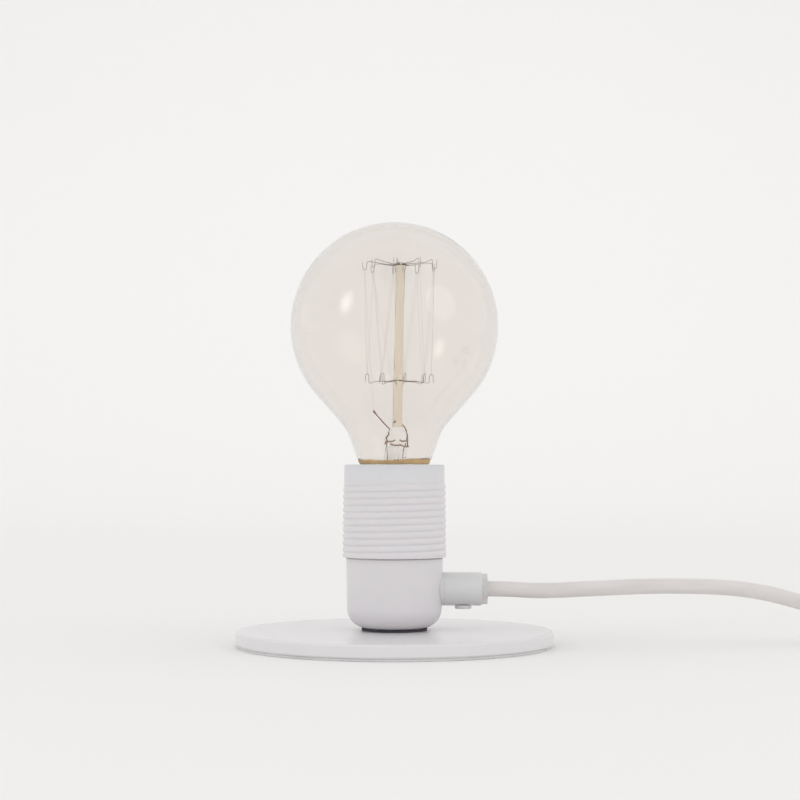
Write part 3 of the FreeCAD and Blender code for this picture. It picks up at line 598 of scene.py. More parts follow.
def baked_cement():
    """Basing cement, baked."""
    # Amber resin and marble flour, darker brown along its upper edge.
    colour = bpy.context.scene.lamp_colours.cement
    darker_from = 70.5
    darker_to = 71.0
    material, tree, surface = new_material("Cement, baked amber", colour, 0.45)
    amber = mottle(tree, surface, (shaded(colour, 0.6), shaded(colour, 1.18)), 3.2, 3)
    place = add_node(tree, "ShaderNodeTexCoord")
    split = add_node(tree, "ShaderNodeSeparateXYZ", links={0: place.outputs["Object"]})
    # The ring turns darker brown towards its upper edge, from 70.5 to 71.0 mm high.
    edge = add_node(
        tree, "ShaderNodeMapRange",
        {"From Min": darker_from * MM, "From Max": darker_to * MM, "To Min": 0.0, "To Max": 0.75},
        {"Value": split.outputs["Z"]},
    )
    darker_top = add_node(
        tree, "ShaderNodeMix", {COLOUR_B: rgba("#3A2416")},
        {FACTOR: edge.outputs["Result"], COLOUR_A: amber.outputs[COLOUR_RESULT]}, data_type="RGBA",
    )
    tree.links.new(surface.inputs["Base Color"], darker_top.outputs[COLOUR_RESULT])
    raise_grain(tree, surface, 0.08, clouds(tree, 0.5, 3, (1, 1, 1)))
    return material


def braided_textile():
    """Rayon yarn, braided over the cord."""
    # Two sets of soft yarns cross over and under, with a dull sheen and faint streaks along the
    # cord; their colour has painted shade in the creases between yarns and painted light on their
    # crests. A real yarn is about 0.4 mm wide; the braid is drawn at twice that so that it shows.
    sizes = bpy.context.scene.lamp_sizes
    colour = bpy.context.scene.lamp_colours.cord
    yarns_around = 18
    fibre_size = 0.35
    yarn_height = 0.13
    streaks_per_metre = 60
    streaks_around = 9
    material, tree, surface = new_material(
        "Rayon, braided", colour, 0.72, Sheen_Weight=0.3, Sheen_Roughness=0.5
    )
    place = add_node(tree, "ShaderNodeTexCoord")
    split = add_node(tree, "ShaderNodeSeparateXYZ", links={0: place.outputs["UV"]})
    along = add_node(
        tree, "ShaderNodeMath", {1: 1 / sizes.braid_pitch}, {0: split.outputs["X"]}, operation="MULTIPLY"
    )
    turns = add_node(
        tree, "ShaderNodeMath", {1: yarns_around}, {0: split.outputs["Y"]}, operation="MULTIPLY"
    )
    heights = []
    counts = []
    for operation in ("ADD", "SUBTRACT"):
        lay = add_node(
            tree, "ShaderNodeMath", links={0: along.outputs[0], 1: turns.outputs[0]}, operation=operation
        )
        within = add_node(tree, "ShaderNodeMath", links={0: lay.outputs[0]}, operation="FRACT")
        arch = add_node(tree, "ShaderNodeMath", {1: math.pi}, {0: within.outputs[0]}, operation="MULTIPLY")
        heights.append(add_node(tree, "ShaderNodeMath", links={0: arch.outputs[0]}, operation="SINE"))
        counts.append(add_node(tree, "ShaderNodeMath", links={0: lay.outputs[0]}, operation="FLOOR"))
    total = add_node(
        tree, "ShaderNodeMath", links={0: counts[0].outputs[0], 1: counts[1].outputs[0]}, operation="ADD"
    )
    over = add_node(
        tree, "ShaderNodeMath", {1: 2.0}, {0: total.outputs[0]}, operation="FLOORED_MODULO"
    )
    height = add_node(
        tree, "ShaderNodeMix", data_type="FLOAT",
        links={FACTOR: over.outputs[0], NUMBER_A: heights[0].outputs[0], NUMBER_B: heights[1].outputs[0]},
    )
    fibres = clouds(tree, fibre_size, 4.0, (1, 1, 1))
    rough_height = add_node(
        tree, "ShaderNodeMath", links={0: fibres, 1: height.outputs[0]}, operation="ADD"
    )
    raise_grain(tree, surface, yarn_height, rough_height.outputs[0])
    # Painted shade and light: darker colour in the creases between yarns, lighter on their crests.
    depth = add_node(
        tree, "ShaderNodeMapRange", {"From Min": 0.0, "From Max": 0.7}, {"Value": height.outputs[0]}
    )
    tone = add_node(
        tree, "ShaderNodeMix", {COLOUR_A: rgba(shaded(colour, 0.86)), COLOUR_B: rgba(shaded(colour, 1.04))},
        {FACTOR: depth.outputs["Result"]}, data_type="RGBA",
    )
    lengthwise = add_node(
        tree, "ShaderNodeMapping", {"Scale": (streaks_per_metre, streaks_around, 1)},
        {"Vector": place.outputs["UV"]},
    )
    streaks = add_node(
        tree, "ShaderNodeTexNoise", {"Scale": 1.0, "Detail": 3.0}, {"Vector": lengthwise.outputs[0]}
    )
    worn = add_node(
        tree, "ShaderNodeMapRange", {"From Min": 0.35, "From Max": 0.7, "To Max": 0.5},
        {"Value": streaks.outputs["Fac"]},
    )
    shade = add_node(
        tree, "ShaderNodeMix", {COLOUR_B: rgba(shaded(colour, 0.86))},
        {FACTOR: worn.outputs["Result"], COLOUR_A: tone.outputs[COLOUR_RESULT]}, data_type="RGBA",
    )
    tree.links.new(surface.inputs["Base Color"], shade.outputs[COLOUR_RESULT])
    return material


def core_insulation():
    """PVC, extruded over a core."""
    # Soft blue with a slight gloss.
    return simple_finish(
        "PVC, extruded blue", "#6F86B4", 0.42, ("#667CAA", "#7990BD"), patch=3, grain=0.6, height=0.01
    )


def woven_tie():
    """Nylon strip, woven with loops."""
    # White tape with a crosswise rib and a fuzzy face. The rib of such tape is about 0.5 mm, and
    # is drawn wider so that it shows.
    rib_scale = 3.6
    material, tree, surface = new_material("Nylon tape, woven", "#E6E6E4", 0.85, Sheen_Weight=0.4)
    place = add_node(tree, "ShaderNodeTexCoord")
    ribs = add_node(
        tree, "ShaderNodeTexWave", {"Scale": 1 / (rib_scale * MM), "Distortion": 1.2, "Detail": 2.0},
        {"Vector": place.outputs["Object"]}, bands_direction="Y",
    )
    raise_grain(tree, surface, 0.12, ribs.outputs["Fac"])
    mottle(tree, surface, ("#D6D6D4", "#EDEDEB"), 0.7, 4)
    return material


def moulded_switch_plastic():
    """ABS, moulded."""
    # Plain white with a fine spark-eroded grain.
    return simple_finish(
        "ABS, moulded white", "#E8E8E6", 0.42, ("#E2E2E0", "#ECECEA"), patch=8,
        grain=0.45, height=0.012, grain_detail=3,
    )


def moulded_plug_plastic():
    """PVC, moulded on the cord."""
    # White and a little soft, with a matt grain.
    return simple_finish(
        "PVC, moulded white", "#E6E6E3", 0.52, ("#DFDFDC", "#EAEAE8"), patch=7,
        grain=0.6, height=0.016, grain_detail=3,
    )


def plated_pin():
    """Brass pin, turned and nickel plated."""
    # Bright silver with fine turning rings.
    return simple_finish(
        "Brass pin, nickel plated", "#D2CEC6", 0.2, ("#C3BEB5", "#DAD7D0"), patch=3,
        grain=0.2, height=0.006, grain_stretch=(8, 1, 1), Metallic=1.0,
    )


def pin_sleeve_plastic():
    """Polyamide, moulded on the pin."""
    # Dull black with a fine grain.
    return simple_finish(
        "Polyamide, moulded black", "#2B2B2D", 0.5, ("#242426", "#333336"), patch=3, grain=0.3, height=0.01
    )


def studio_paper():
    """Backdrop paper, rolled."""
    # Matt and pale, with almost no texture.
    colour = bpy.context.scene.lamp_colours.floor
    return simple_finish(
        "Paper, studio roll", colour, 0.9, (shaded(colour, 0.995), shaded(colour, 1.003)), patch=400,
        Specular_IOR_Level=0.1,
    )


made_finishes = {}


def finish(maker):
    """The material that a maker function describes, made once and shared."""
    if maker not in made_finishes:
        made_finishes[maker] = maker()
    return made_finishes[maker]


def dress(maker, *nodes):
    """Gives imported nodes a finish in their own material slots."""
    for name in nodes:
        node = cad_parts[name]
        if not node.material_slots:
            node.data.materials.append(None)
        for slot in node.material_slots:
            slot.material = finish(maker)


# ---------------------------------------------------------------- base


class LAMP_OT_base(bpy.types.Operator):
    """Finish the steel plate and its fixings, and make the felt pad"""

    bl_idname = "lamp.base"
    bl_label = "Base plate and pad"

    def execute(self, context):
        edge = 0.3
        past_solid = 2.2
        radius = PAD_HIGH.x + past_solid
        top = PAD_HIGH.z
        outline = rounded_profile([(0, 0, 0), (radius, 0, edge), (radius, top, edge), (0, top, 0)], False)
        turned_piece(
            "felt_pad", divided(outline, 6.0, False), 160, pressed_felt, "root", ["base_pad"],
            self.ragged, closed=False,
        )
        dress(powder_coated_steel, "base_disc")
        dress(zinc_plated_steel, "mounting_nipple", "nipple_nut", "lock_washer")
        # The seat washer's near black is partly painted shade for the gap under the cup.
        dress(fibre_as_painted_shade, "seat_washer")
        return {"FINISHED"}

    @staticmethod
    def ragged(radius, height, angle):
        """The pad's cut edge wanders by 0.12 mm either way, in 5 long and 17 short waves."""
        if radius > PAD_HIGH.x:
            radius -= 0.12 + 0.07 * math.sin(5 * angle) + 0.05 * math.sin(17 * angle + 1)
        return radius, height


# ---------------------------------------------------------------- lampholder


def groove(height, angle, pitch, first, top, run_out, sharpness):
    """Depth share of a right-hand thread at a height and angle, 0 on the crest and 1 in the root.

    first is the height of a crest at angle 0, top the height where the groove ends, run_out the
    part of a turn in which it fades; a higher sharpness makes the root narrower.
    """
    turns = (height - first) / pitch - angle / TURN
    nearest = math.floor(turns) + 0.5
    groove_height = first + pitch * (nearest + angle / TURN)
    fade = ramp(top, groove_height, pitch * run_out)
    wave = 0.5 - 0.5 * math.cos(TURN * turns)
    return fade * wave ** sharpness


class LAMP_OT_lampholder(bpy.types.Operator):
    """Make the threaded sleeve and the rolled thread shell, and finish the cup and contacts"""

    bl_idname = "lamp.lampholder"
    bl_label = "Lampholder"

    def execute(self, context):
        self.sleeve(context.scene.lamp_sizes)
        self.shell(context.scene.lamp_sizes)
        dress(moulded_holder_plastic, "lampholder_cup")
        dress(heatproof_carrier, "contact_carrier")
        dress(stamped_brass, "centre_contact", "terminal_blocks", "contact_posts")
        dress(zinc_plated_steel, "terminal_screws")
        return {"FINISHED"}

    def sleeve(self, sizes):
        """Sleeve with its outer thread, the smooth band above it and the bore."""
        pitch = sizes.thread_pitch / MM
        depth = sizes.thread_depth / MM
        bore = 14.2
        socket = 17.1
        ledge = 41.95
        band = 19.1
        top_radius = 18.95
        crest_low = SLEEVE_HIGH.x
        crest_top = 19.4
        thread_top = 61.0
        crest_at_front = 62.2
        first = crest_at_front + pitch / 4
        seat_gap = 0.17
        run_in = 0.8
        rows_per_turn = 18
        low = SLEEVE_LOW.z - seat_gap
        top = SLEEVE_HIGH.z
        outline = rounded_profile([
            (socket, low, 0.1),
            (crest_low, low, 0.4),
            (crest_top, thread_top, 0.3),
            (band, thread_top + 0.5, 0.6),
            (top_radius, top, 0.7),
            (bore, top, 0.8),
            (bore, ledge, 0),
            (socket, ledge, 0),
        ])
        fine = divided(outline, pitch / rows_per_turn)
        threaded = [point for point in fine if point.x > top_radius]
        inside = [point for point in outline if point.x <= top_radius]
        profile = threaded + inside

        def thread(radius, height, angle):
            """The outer thread, which fades in at the foot and leaves 1 mm of wall."""
            if radius > band - 0.4 and height > low + 0.05:
                cut = groove(
                    height, angle, pitch, first, thread_top + 0.7, run_out=0.35, sharpness=2.6
                )
                radius = max(radius - depth * cut * ramp(height, low, run_in), socket + 1.0)
            return radius, height

        turned_piece(
            "threaded_sleeve", profile, 240, moulded_holder_plastic, "root",
            ["lampholder_sleeve"], thread,
        )

    def shell(self, sizes):
        """Screw shell of thin metal with the rolled thread that takes the bulb."""
        pitch = sizes.cap_pitch / MM
        wall = 0.3
        crest = 13.25
        rolled = 0.5
        low, high = node_box("thread_shell")
        profile = divided(rounded_profile([
            (crest, low.z, 0),
            (high.x, low.z, 0),
            (high.x, low.z + wall, 0),
            (crest + wall, low.z + wall, 0.2),
            (crest + wall, high.z, 0.1),
            (crest, high.z, 0.1),
        ]), 0.3)

        def thread(radius, height, angle):
            """Both faces of the thin wall go out where the thread is rolled."""
            if radius < crest + wall + 0.05:
                cut = groove(height, angle, pitch, low.z, high.z, run_out=0.6, sharpness=0.8)
                radius += rolled * ramp(height, low.z + 1.5, 2.0) * cut
            return radius, height

        turned_piece(
            "rolled_thread_shell", profile, 128, nickelled_shell, "root",
            ["thread_shell"], thread,
        )


class LAMP_OT_inlet(bpy.types.Operator):
    """Finish the side inlet, its bush, clamp screw and the cord's end and cores in the cup"""

    bl_idname = "lamp.inlet"
    bl_label = "Cord inlet"

    def execute(self, context):
        self.root_ring()
        dress(moulded_inlet_plastic, "gland_tube", "gland_nut", "gland_clamp_screw")
        dress(clear_bush_plastic, "gland_bush")
        dress(braided_textile, "cord_in_gland")
        dress(core_insulation, "core_live", "core_neutral")
        return {"FINISHED"}

    def root_ring(self):
        """Ring at the root of the inlet's tube, which closes on the round of the cup."""
        high = node_box("gland_tube")[1]
        bore = 4.95
        start = 17.1
        end = 18.62
        outline = rounded_profile([
            (bore, start, 0), (high.y, start, 0), (high.y, end, 0.1), (bore, end, 0),
        ])
        middle = Vector((0, 0, high.z - high.y)) * MM
        turned_piece(
            "inlet_root", divided(outline, 0.8), 72, moulded_inlet_plastic, "root",
            nodes=[], place=Matrix.Translation(middle) @ Matrix.Rotation(math.pi / 2, 4, "Y"),
        )


# ---------------------------------------------------------------- bulb

GLOBE_RADIUS = GLASS_HIGH.x
GLOBE_Z = GLASS_HIGH.z - GLOBE_RADIUS
FLANK_ANGLE = math.radians(41.5)
NECK_ANGLE = math.radians(19.5)
NECK_RADIUS = 14.6
NECK_Z = 72.2
NECK_BLEND = 17.0
NECK_END_Z = 70.9
NECK_END_RADIUS = 12.6


def glass_outline(inset):
    """The glass from its top, down the globe, the flank and the neck, to its low end."""
    radius = GLOBE_RADIUS - inset
    steps = 72
    globe = []
    for step in range(steps + 1):
        angle = math.pi / 2 - (math.pi / 2 + FLANK_ANGLE) * step / steps
        globe.append(Vector((radius * math.cos(angle), GLOBE_Z + radius * math.sin(angle))))
    globe[0].x = 0.0
    leave = globe[-1]
    flank = math.tan(FLANK_ANGLE)
    neck = math.tan(NECK_ANGLE)
    neck_radius = NECK_RADIUS - inset / math.cos(NECK_ANGLE)
    height = (leave.x - leave.y * flank - neck_radius + NECK_Z * neck) / (neck - flank)
    corners = [
        (leave.x, leave.y, 0),
        (neck_radius + (height - NECK_Z) * neck, height, NECK_BLEND),
        (neck_radius + (NECK_END_Z - NECK_Z) * neck, NECK_END_Z, 1.1),
        (NECK_END_RADIUS - inset, NECK_END_Z - 1.6, 0.6),
        (NECK_END_RADIUS - inset, GLASS_LOW.z, 0),
    ]
    return globe[:-1] + divided(rounded_profile(corners, False, 12), 1.2, False)


class LAMP_OT_bulb_glass(bpy.types.Operator):
    """Make the blown globe"""

    bl_idname = "lamp.bulb_glass"
    bl_label = "Bulb glass"

    def execute(self, context):
        wall = context.scene.lamp_sizes.glass_wall / MM
        profile = glass_outline(0) + glass_outline(wall)[::-1]
        turned_piece(
            "glass_globe", profile, 176, blown_glass, "bulb", ["bulb_glass"], self.blown,
            closed=False,
        )
        return {"FINISHED"}

    @staticmethod
    def blown(radius, height, angle):
        """Blown glass is never quite round: it is up to 0.1 mm in from a true circle."""
        neck = 72
        over_neck = 88
        unround = 0.05
        share = math.sin(math.pi * ramp(height, neck, over_neck))
        wave = math.sin(2 * angle + height / 17) * math.sin(height / 23 + 1)
        return max(radius - share * unround * (1 + wave), 0.0), height


class LAMP_OT_bulb_cap(bpy.types.Operator):
    """Make the threaded screw cap and the cement, and finish the insulator and contact"""

    bl_idname = "lamp.bulb_cap"
    bl_label = "Bulb cap"

    def execute(self, context):
        self.cap(context.scene.lamp_sizes)
        self.cement()
        dress(black_vitrite, "cap_insulator")
        dress(tin_solder, "cap_contact")
        return {"FINISHED"}

    def cap(self, sizes):
        """Drawn shell: plain rim, rolled thread, and a cone down to the insulator."""
        pitch = sizes.cap_pitch / MM
        depth = sizes.cap_depth / MM
        wall = 0.3
        radius_out = CAP_HIGH.x
        cone_top = 48.0
        thread_top = 61.6
        insulator = 9.4
        profile = divided(rounded_profile([
            (radius_out, CAP_HIGH.z, 0.1),
            (radius_out, cone_top, 1.0),
            (insulator, CAP_LOW.z, 0.2),
            (insulator - wall, CAP_LOW.z, 0.05),
            (radius_out - wall, cone_top, 0.8),
            (radius_out - wall, CAP_HIGH.z, 0.1),
        ]), 0.3)

        def thread(radius, height, angle):
            """Both faces of the thin wall go in where the thread is rolled."""
            if radius > radius_out - wall - 0.3 and height < thread_top:
                cut = groove(height, angle, pitch, cone_top, thread_top, run_out=0.6, sharpness=0.9)
                radius -= depth * ramp(height, cone_top, 1.5) * cut
            return radius, height

        turned_piece(
            "screw_cap", profile, 144, nickelled_shell, "bulb", ["cap_shell"], thread
        )

    def cement(self):
        """Cement squeezed out between the cap's rim and the glass, its edge uneven."""
        low, high = node_box("cap_cement")
        rim = CAP_HIGH.z
        profile = divided(rounded_profile([
            (NECK_END_RADIUS + 0.02, low.z, 0),
            (CAP_HIGH.x - 0.35, low.z, 0),
            (CAP_HIGH.x - 0.35, rim, 0),
            (CAP_HIGH.x + 0.1, rim, 0.1),
            (high.x - 0.15, high.z - 0.6, 0.3),
            (high.x + 0.3, high.z + 0.3, 0.5),
            (high.x + 0.62, high.z + 0.95, 0.08),
            (high.x + 0.3, high.z + 0.6, 0.3),
            (high.x - 0.05, high.z - 0.3, 0.3),
            (NECK_END_RADIUS + 0.3, rim + 0.5, 0.3),
            (NECK_END_RADIUS + 0.02, rim, 0),
        ]), 0.25)

        def uneven(radius, height, angle):
            """The ring's edge leans to one side and sinks between lumps, more so higher up."""
            share = ramp(height, rim, 1.6 * (high.z - rim))
            lump = math.cos(2 * angle) + 0.55 * math.sin(5 * angle + 0.4) + 0.3 * math.sin(11 * angle + 2)
            lean = 0.5 * math.cos(angle + 0.4)
            drop = 0.5 * (1 - 0.6 * lump)
            return radius - 0.2 * share * (1 - 0.5 * lump), height + share * (lean - drop)

        turned_piece(
            "cement_ring", profile, 180, baked_cement, "bulb", ["cap_cement"], uneven
        )


SEAL_Z = 66.0
PINCH_Z = 80.0
FLARE_LEAN = 0.07
ROD_LEAN = 0.02


def askew(point):
    """A point of the mount, moved as it stands: sealed in by hand, and a little askew in the glass."""
    x, y, height = point
    below = FLARE_LEAN * min(max(height - SEAL_Z, 0.0), PINCH_Z - SEAL_Z)
    above = ROD_LEAN * max(height - PINCH_Z, 0.0)
    return Vector((x + below + above, y, height))


class LAMP_OT_glass_stem(bpy.types.Operator):
    """Make the glass flare, the flattened pinch and the yellow rod, and finish the exhaust tube"""

    bl_idname = "lamp.glass_stem"
    bl_label = "Glass stem"

    def execute(self, context):
        self.flare()
        self.pinch()
        self.rod()
        dress(stem_glass, "exhaust_tube")
        return {"FINISHED"}

    def flare(self):
        """Thin flare that is fused to the neck and runs up into the pinch."""
        low, high = node_box("stem_flare")
        profile = divided(rounded_profile([
            (high.x, low.z, 0),
            (high.x, low.z + 1.2, 0.6),
            (4.4, high.z - 6.0, 5.0),
            (4.0, high.z, 0),
            (3.2, high.z, 0),
            (3.6, high.z - 6.0, 4.2),
            (high.x - 0.9, low.z, 0),
        ], True, 12), 0.8)
        turned_piece(
            "glass_flare", profile, 72, stem_glass, "bulb", ["stem_flare"], move=askew
        )

    def pinch(self):
        """The tube's end, pinched flat while soft, and drawn in to the rod above."""
        # Height, half width and half depth of each section.
        sections = [
            (75.6, 3.7, 1.5), (75.9, 4.15, 1.8), (76.6, 4.45, 1.75), (77.6, 4.5, 1.55), (78.8, 4.5, 1.6),
            (79.8, 4.35, 1.7), (80.7, 3.9, 1.75), (81.6, 3.2, 1.8), (82.5, 2.5, 1.8), (83.3, 2.05, 1.8),
            (83.5, 1.6, 1.4),
        ]
        flat_front = 0.7
        flat_side = 0.85
        sides = 48
        vertices = []
        for height, half_width, half_depth in sections:
            for side in range(sides):
                angle = TURN * side / sides
                x = math.copysign(abs(math.cos(angle)) ** flat_front, math.cos(angle)) * half_width
                y = math.copysign(abs(math.sin(angle)) ** flat_side, math.sin(angle)) * half_depth
                vertices.append(askew((x, y, height)))
        faces = grid_faces(len(sections), sides, False, True)
        last = sides * (len(sections) - 1)
        faces.append(tuple(range(sides)))
        faces.append(tuple(range(last, last + sides)))
        piece = mesh_piece(
            "glass_pinch", vertices, faces, stem_glass, "bulb", ["stem_pinch"]
        )
        piece.modifiers.new("Smooth form", "SUBSURF").render_levels = 1

    def rod(self):
        """Drawn rod with a knob at its top, where the wires are pushed in while it is soft."""
        low, high = node_box("stem_rod")
        radius = 1.75
        bead = 100.4
        neck = high.z - 2.8
        profile = divided(rounded_profile([
            (0, low.z, 0),
            (radius + 0.15, low.z, 0.3),
            (radius, low.z + 4, 1.0),
            (radius, neck - 1.0, 1.2),
            (radius + 0.4, neck + 0.6, 1.0),
            (radius + 0.3, high.z - 0.5, 0.9),
            (0, high.z, 0),
        ], False, 8), 0.6, False)

        def drawn(out, height, angle):
            """The rod swells by 0.2 mm at the lower wires and drifts in thickness along its draw."""
            swell = 0.2 * math.exp(-((height - bead) / 1.3) ** 2)
            drift = 0.05 * math.sin(height / 7.0) + 0.03 * math.sin(height / 2.6 + angle)
            return max(out + out / radius * (swell + drift), 0.0), height

        turned_piece(
            "glass_rod", profile, 48, yellow_rod_glass, "bulb", ["stem_rod"], drawn,
            closed=False, move=askew,
        )


TOP_HOOKS = 9
BOTTOM_HOOKS = 8
TOP_HOOK_RADIUS = 13.6
TOP_HOOK_Z = 144.6
TOP_HOOK_RISE = 1.4
BOTTOM_HOOK_RADIUS = 12.6
BOTTOM_HOOK_Z = 100.6
BOTTOM_HOOK_RISE = -1.0
FIRST_HOOK = 182.0
HOOK_DEPTH = 3.0
HOOK_WIDTH = 1.5
LEFT_LEAD_END = Vector((-9.1, 0.4, 89.2))
RIGHT_LEAD_END = Vector((0.6, 5.2, 85.3))


def hook(degrees, reach, height, sign, rise, chance):
    """A support wire as hand-bent points: the arm, then the narrow loop that holds the filament.

    sign is -1 where the loop hangs and 1 where it stands. Also gives the loop's tip.
    """
    side = around(HOOK_WIDTH / 2, degrees + chance.uniform(-40, 40), 0)
    out = around(1, degrees, 0)
    wander = chance.uniform(-0.35, 0.35)
    tip = around(reach, degrees, height + rise + sign * HOOK_DEPTH)
    up = Vector((0, 0, sign))
    knee = around(reach, degrees, height + rise + wander * 0.6) - side
    points = [
        around(0.7, degrees, height),
        around(reach * 0.3, degrees, height + rise * 0.2 + wander),
        around(reach * 0.72, degrees, height + rise * 0.6 - wander),
        knee - out * 1.0,
        knee,
        tip - side - up * 0.9,
        tip - side * 0.8 + up * 0.25,
        tip + side * 0.8 + up * 0.25,
        tip + side - up * 0.9,
        tip + side * 1.15 - up * (HOOK_DEPTH - 0.1 + wander),
    ]
    shares = [1.7, 1.1] + [1.0] * (len(points) - 2)
    return list(zip(points, shares)), tip


class LAMP_OT_filament_mount(bpy.types.Operator):
    """Make the support wires, the filament and the copper leads"""

    bl_idname = "lamp.filament_mount"
    bl_label = "Filament mount"

    def execute(self, context):
        sizes = context.scene.lamp_sizes
        chance = random.Random(7)
        top = []
        bottom = []
        tips = []
        step = 360 / TOP_HOOKS
        for index in range(TOP_HOOKS):
            degrees = FIRST_HOOK + step * index
            line, tip = hook(degrees, TOP_HOOK_RADIUS, TOP_HOOK_Z, -1, TOP_HOOK_RISE, chance)
            top.append(line)
            tips.append((tip, 1, degrees))
            if index == BOTTOM_HOOKS:
                break
            degrees += step / 2
            line, tip = hook(degrees, BOTTOM_HOOK_RADIUS, BOTTOM_HOOK_Z, 1, BOTTOM_HOOK_RISE, chance)
            bottom.append(line)
            tips.append((tip, -1, degrees))
        for name, lines, node in (
            ("top_support_wires", top, "top_hooks"), ("bottom_support_wires", bottom, "bottom_hooks"),
        ):
            wire_piece(name, lines, sizes.support_wire, drawn_support_wire, [node])
        self.filament(tips, sizes.filament, chance)
        self.leads(sizes.lead_wire)
        return {"FINISHED"}

    def filament(self, tips, thickness, chance):
        """One thread that runs up and down between the loops, each run a little bowed."""
        over = 0.25
        hop = 0.5
        start = LEFT_LEAD_END
        line = [start]
        for end, way, degrees in (*tips, (RIGHT_LEAD_END, 0, 0)):
            bow = around(chance.uniform(-0.35, 0.35), chance.uniform(0, 360), 0)
            for share in (0.03, 0.3, 0.5, 0.7, 0.97):
                line.append(start.lerp(end, share) + bow * math.sin(math.pi * share))
            if way:
                across = around(hop, degrees + 90, 0)
                lift = Vector((0, 0, way * over))
                line += [end - across + lift, end + across + lift]
            start = end
        line.append(RIGHT_LEAD_END)
        thread = [(point, 1) for point in line]
        wire_piece("filament_thread", [thread], thickness, filament_wire, ["filament"])

    def leads(self, thickness):
        """Copper leads: free ends with a crimped bead, kinks above the pinch, thin wires below it."""
        left_low = [(-3.1, 0, 62.6), (-3.1, 0, 69.0), (-3.2, -0.1, 73.5), (-3.6, -0.3, 77.2)]
        left_high = [
            (-4.3, -0.3, 76.4), (-4.2, -0.5, 77.2), (-3.4, -0.6, 77.7), (-4.0, -0.5, 78.7),
            (-3.5, -0.5, 79.6), (-2.9, -0.4, 80.4), (-3.2, -0.2, 81.3), (-2.7, 0, 82.2),
            (-3.2, 0, 82.8), (-5.6, 0.1, 85.2), (-8.5, 0.3, 88.3),
        ]
        right_low = [(2.8, 0, 66.0), (2.75, 0, 71.0), (2.85, -0.1, 75.0), (3.4, -0.3, 76.8)]
        right_high = [
            (4.6, -0.3, 75.3), (4.0, -0.5, 76.6), (4.2, -0.6, 77.6), (3.7, -0.5, 78.6), (3.95, -0.5, 79.8),
            (3.5, -0.3, 81.0), (3.4, -0.2, 82.1), (2.7, 0.6, 83.4), (1.7, 2.2, 84.4), (0.9, 4.2, 85.0),
        ]
        flats = [
            [(-4.4, -0.6, 76.7), (-3.2, -1.3, 77.6), (-1.9, -1.6, 77.3), (-0.6, -1.75, 78.0)],
            [
                (-2.4, -1.6, 76.6), (-0.6, -1.8, 75.8), (1.4, -1.8, 76.3), (2.6, -1.6, 75.6),
                (4.1, -0.8, 75.5),
            ],
            [(1.1, -1.7, 78.1), (2.3, -1.5, 77.3), (3.2, -1.3, 77.9), (4.3, -0.6, 77.4)],
        ]
        # Shares of the thickness: thin below the pinch, rough and thick in it, a bead at the end.
        thin = 0.75
        rough = 1.2
        rough_points = 6
        plain = 1.0
        crimped = 1.9
        tapered = 0.8
        pressed = 1.4
        lines = [[(point, thin) for point in low] for low in (left_low, right_low)]
        for high, end in ((left_high, LEFT_LEAD_END), (right_high, RIGHT_LEAD_END)):
            bead = Vector(high[-1]).lerp(end, 0.5)
            line = [(point, rough if index < rough_points else plain) for index, point in enumerate(high)]
            line += [(bead, crimped), (end, crimped), (end + (end - bead) * 0.4, tapered)]
            lines.append(line)
        wire_piece("copper_leads", lines, thickness, oxidised_copper, ["lead_wires"])
        smears = [[(point, pressed) for point in flat] for flat in flats]
        wire_piece("pressed_leads", smears, thickness, borated_wire, ["lead_wires"])


# ---------------------------------------------------------------- cord

LEAD_ROUTE = [
    (35.1, 0, 21.6),
    (42.5, 0, 21.6),
    (55, 0, 20.7),
    (75, 0, 21.7),
    (103, 0, 22.9),
    (134, 1.0, 21.8),
    (156, 4.6, 16.0),
    (176, 10.4, 10.2),
    (192, 14, 8.0),
    (205, 14, 8.0),
]
SWITCH_OUT_ROUTE = [(271, 14, 8.0), (281, 14, 8.0), (296, 18.2, 5.6), (311, 25.4, 3.6)]
PLUG_ROUTE = [
    (315, -53.5, 8.5),
    (303.8, -44.5, 6.6),
    (293, -34.4, 5.6),
    (280, -29.4, 6.1),
    (267, -28.5, 6.8),
    (254.2, -31.0, 6.85),
]
PLUG_TURN = math.radians(11.0)
COIL_CENTRE = Vector((345, -13, 0))
COIL_OUTER = 43.6
COIL_PITCH = 6.3
COIL_TURNS = 6.5
COIL_CLIMB = (3.0, 3.5)
COIL_LOW_Z = 3.45
COIL_HIGH_Z = 9.75
COIL_STEPS = 16


def coil_point(turn, swell=1.0):
    """Centre of the cord after so many turns: in along the table, up a layer, and out again."""
    climb_start, climb_end = COIL_CLIMB
    radius = COIL_OUTER - COIL_PITCH * min(turn, COIL_TURNS - turn)
    done = ramp(turn, climb_start, climb_end - climb_start)
    height = COIL_LOW_Z + (COIL_HIGH_Z - COIL_LOW_Z) * done * done * (3 - 2 * done)
    return COIL_CENTRE + around(radius * swell, 90 - 360 * turn, height)


def stored_route():
    """Route from the switch through the coil to the plug; a spline cuts inside, so the turns swell."""
    swell = 1 / (0.75 + 0.25 * math.cos(TURN / COIL_STEPS))
    run_in = 5.8
    before_start = 13
    after_end = 11
    step = 1e-3
    start_way = (coil_point(step) - coil_point(0)).normalized()
    end_way = (coil_point(COIL_TURNS) - coil_point(COIL_TURNS - step)).normalized()
    start = coil_point(0) - start_way * run_in
    end = coil_point(COIL_TURNS) + end_way * run_in
    route = [Vector(point) for point in SWITCH_OUT_ROUTE]
    route += [start - start_way * before_start, start]
    for index in range(int(COIL_TURNS * COIL_STEPS) + 1):
        route.append(coil_point(index / COIL_STEPS, swell))
    route += [end, end + end_way * after_end]
    route += [Vector(point) for point in PLUG_ROUTE]
    return route


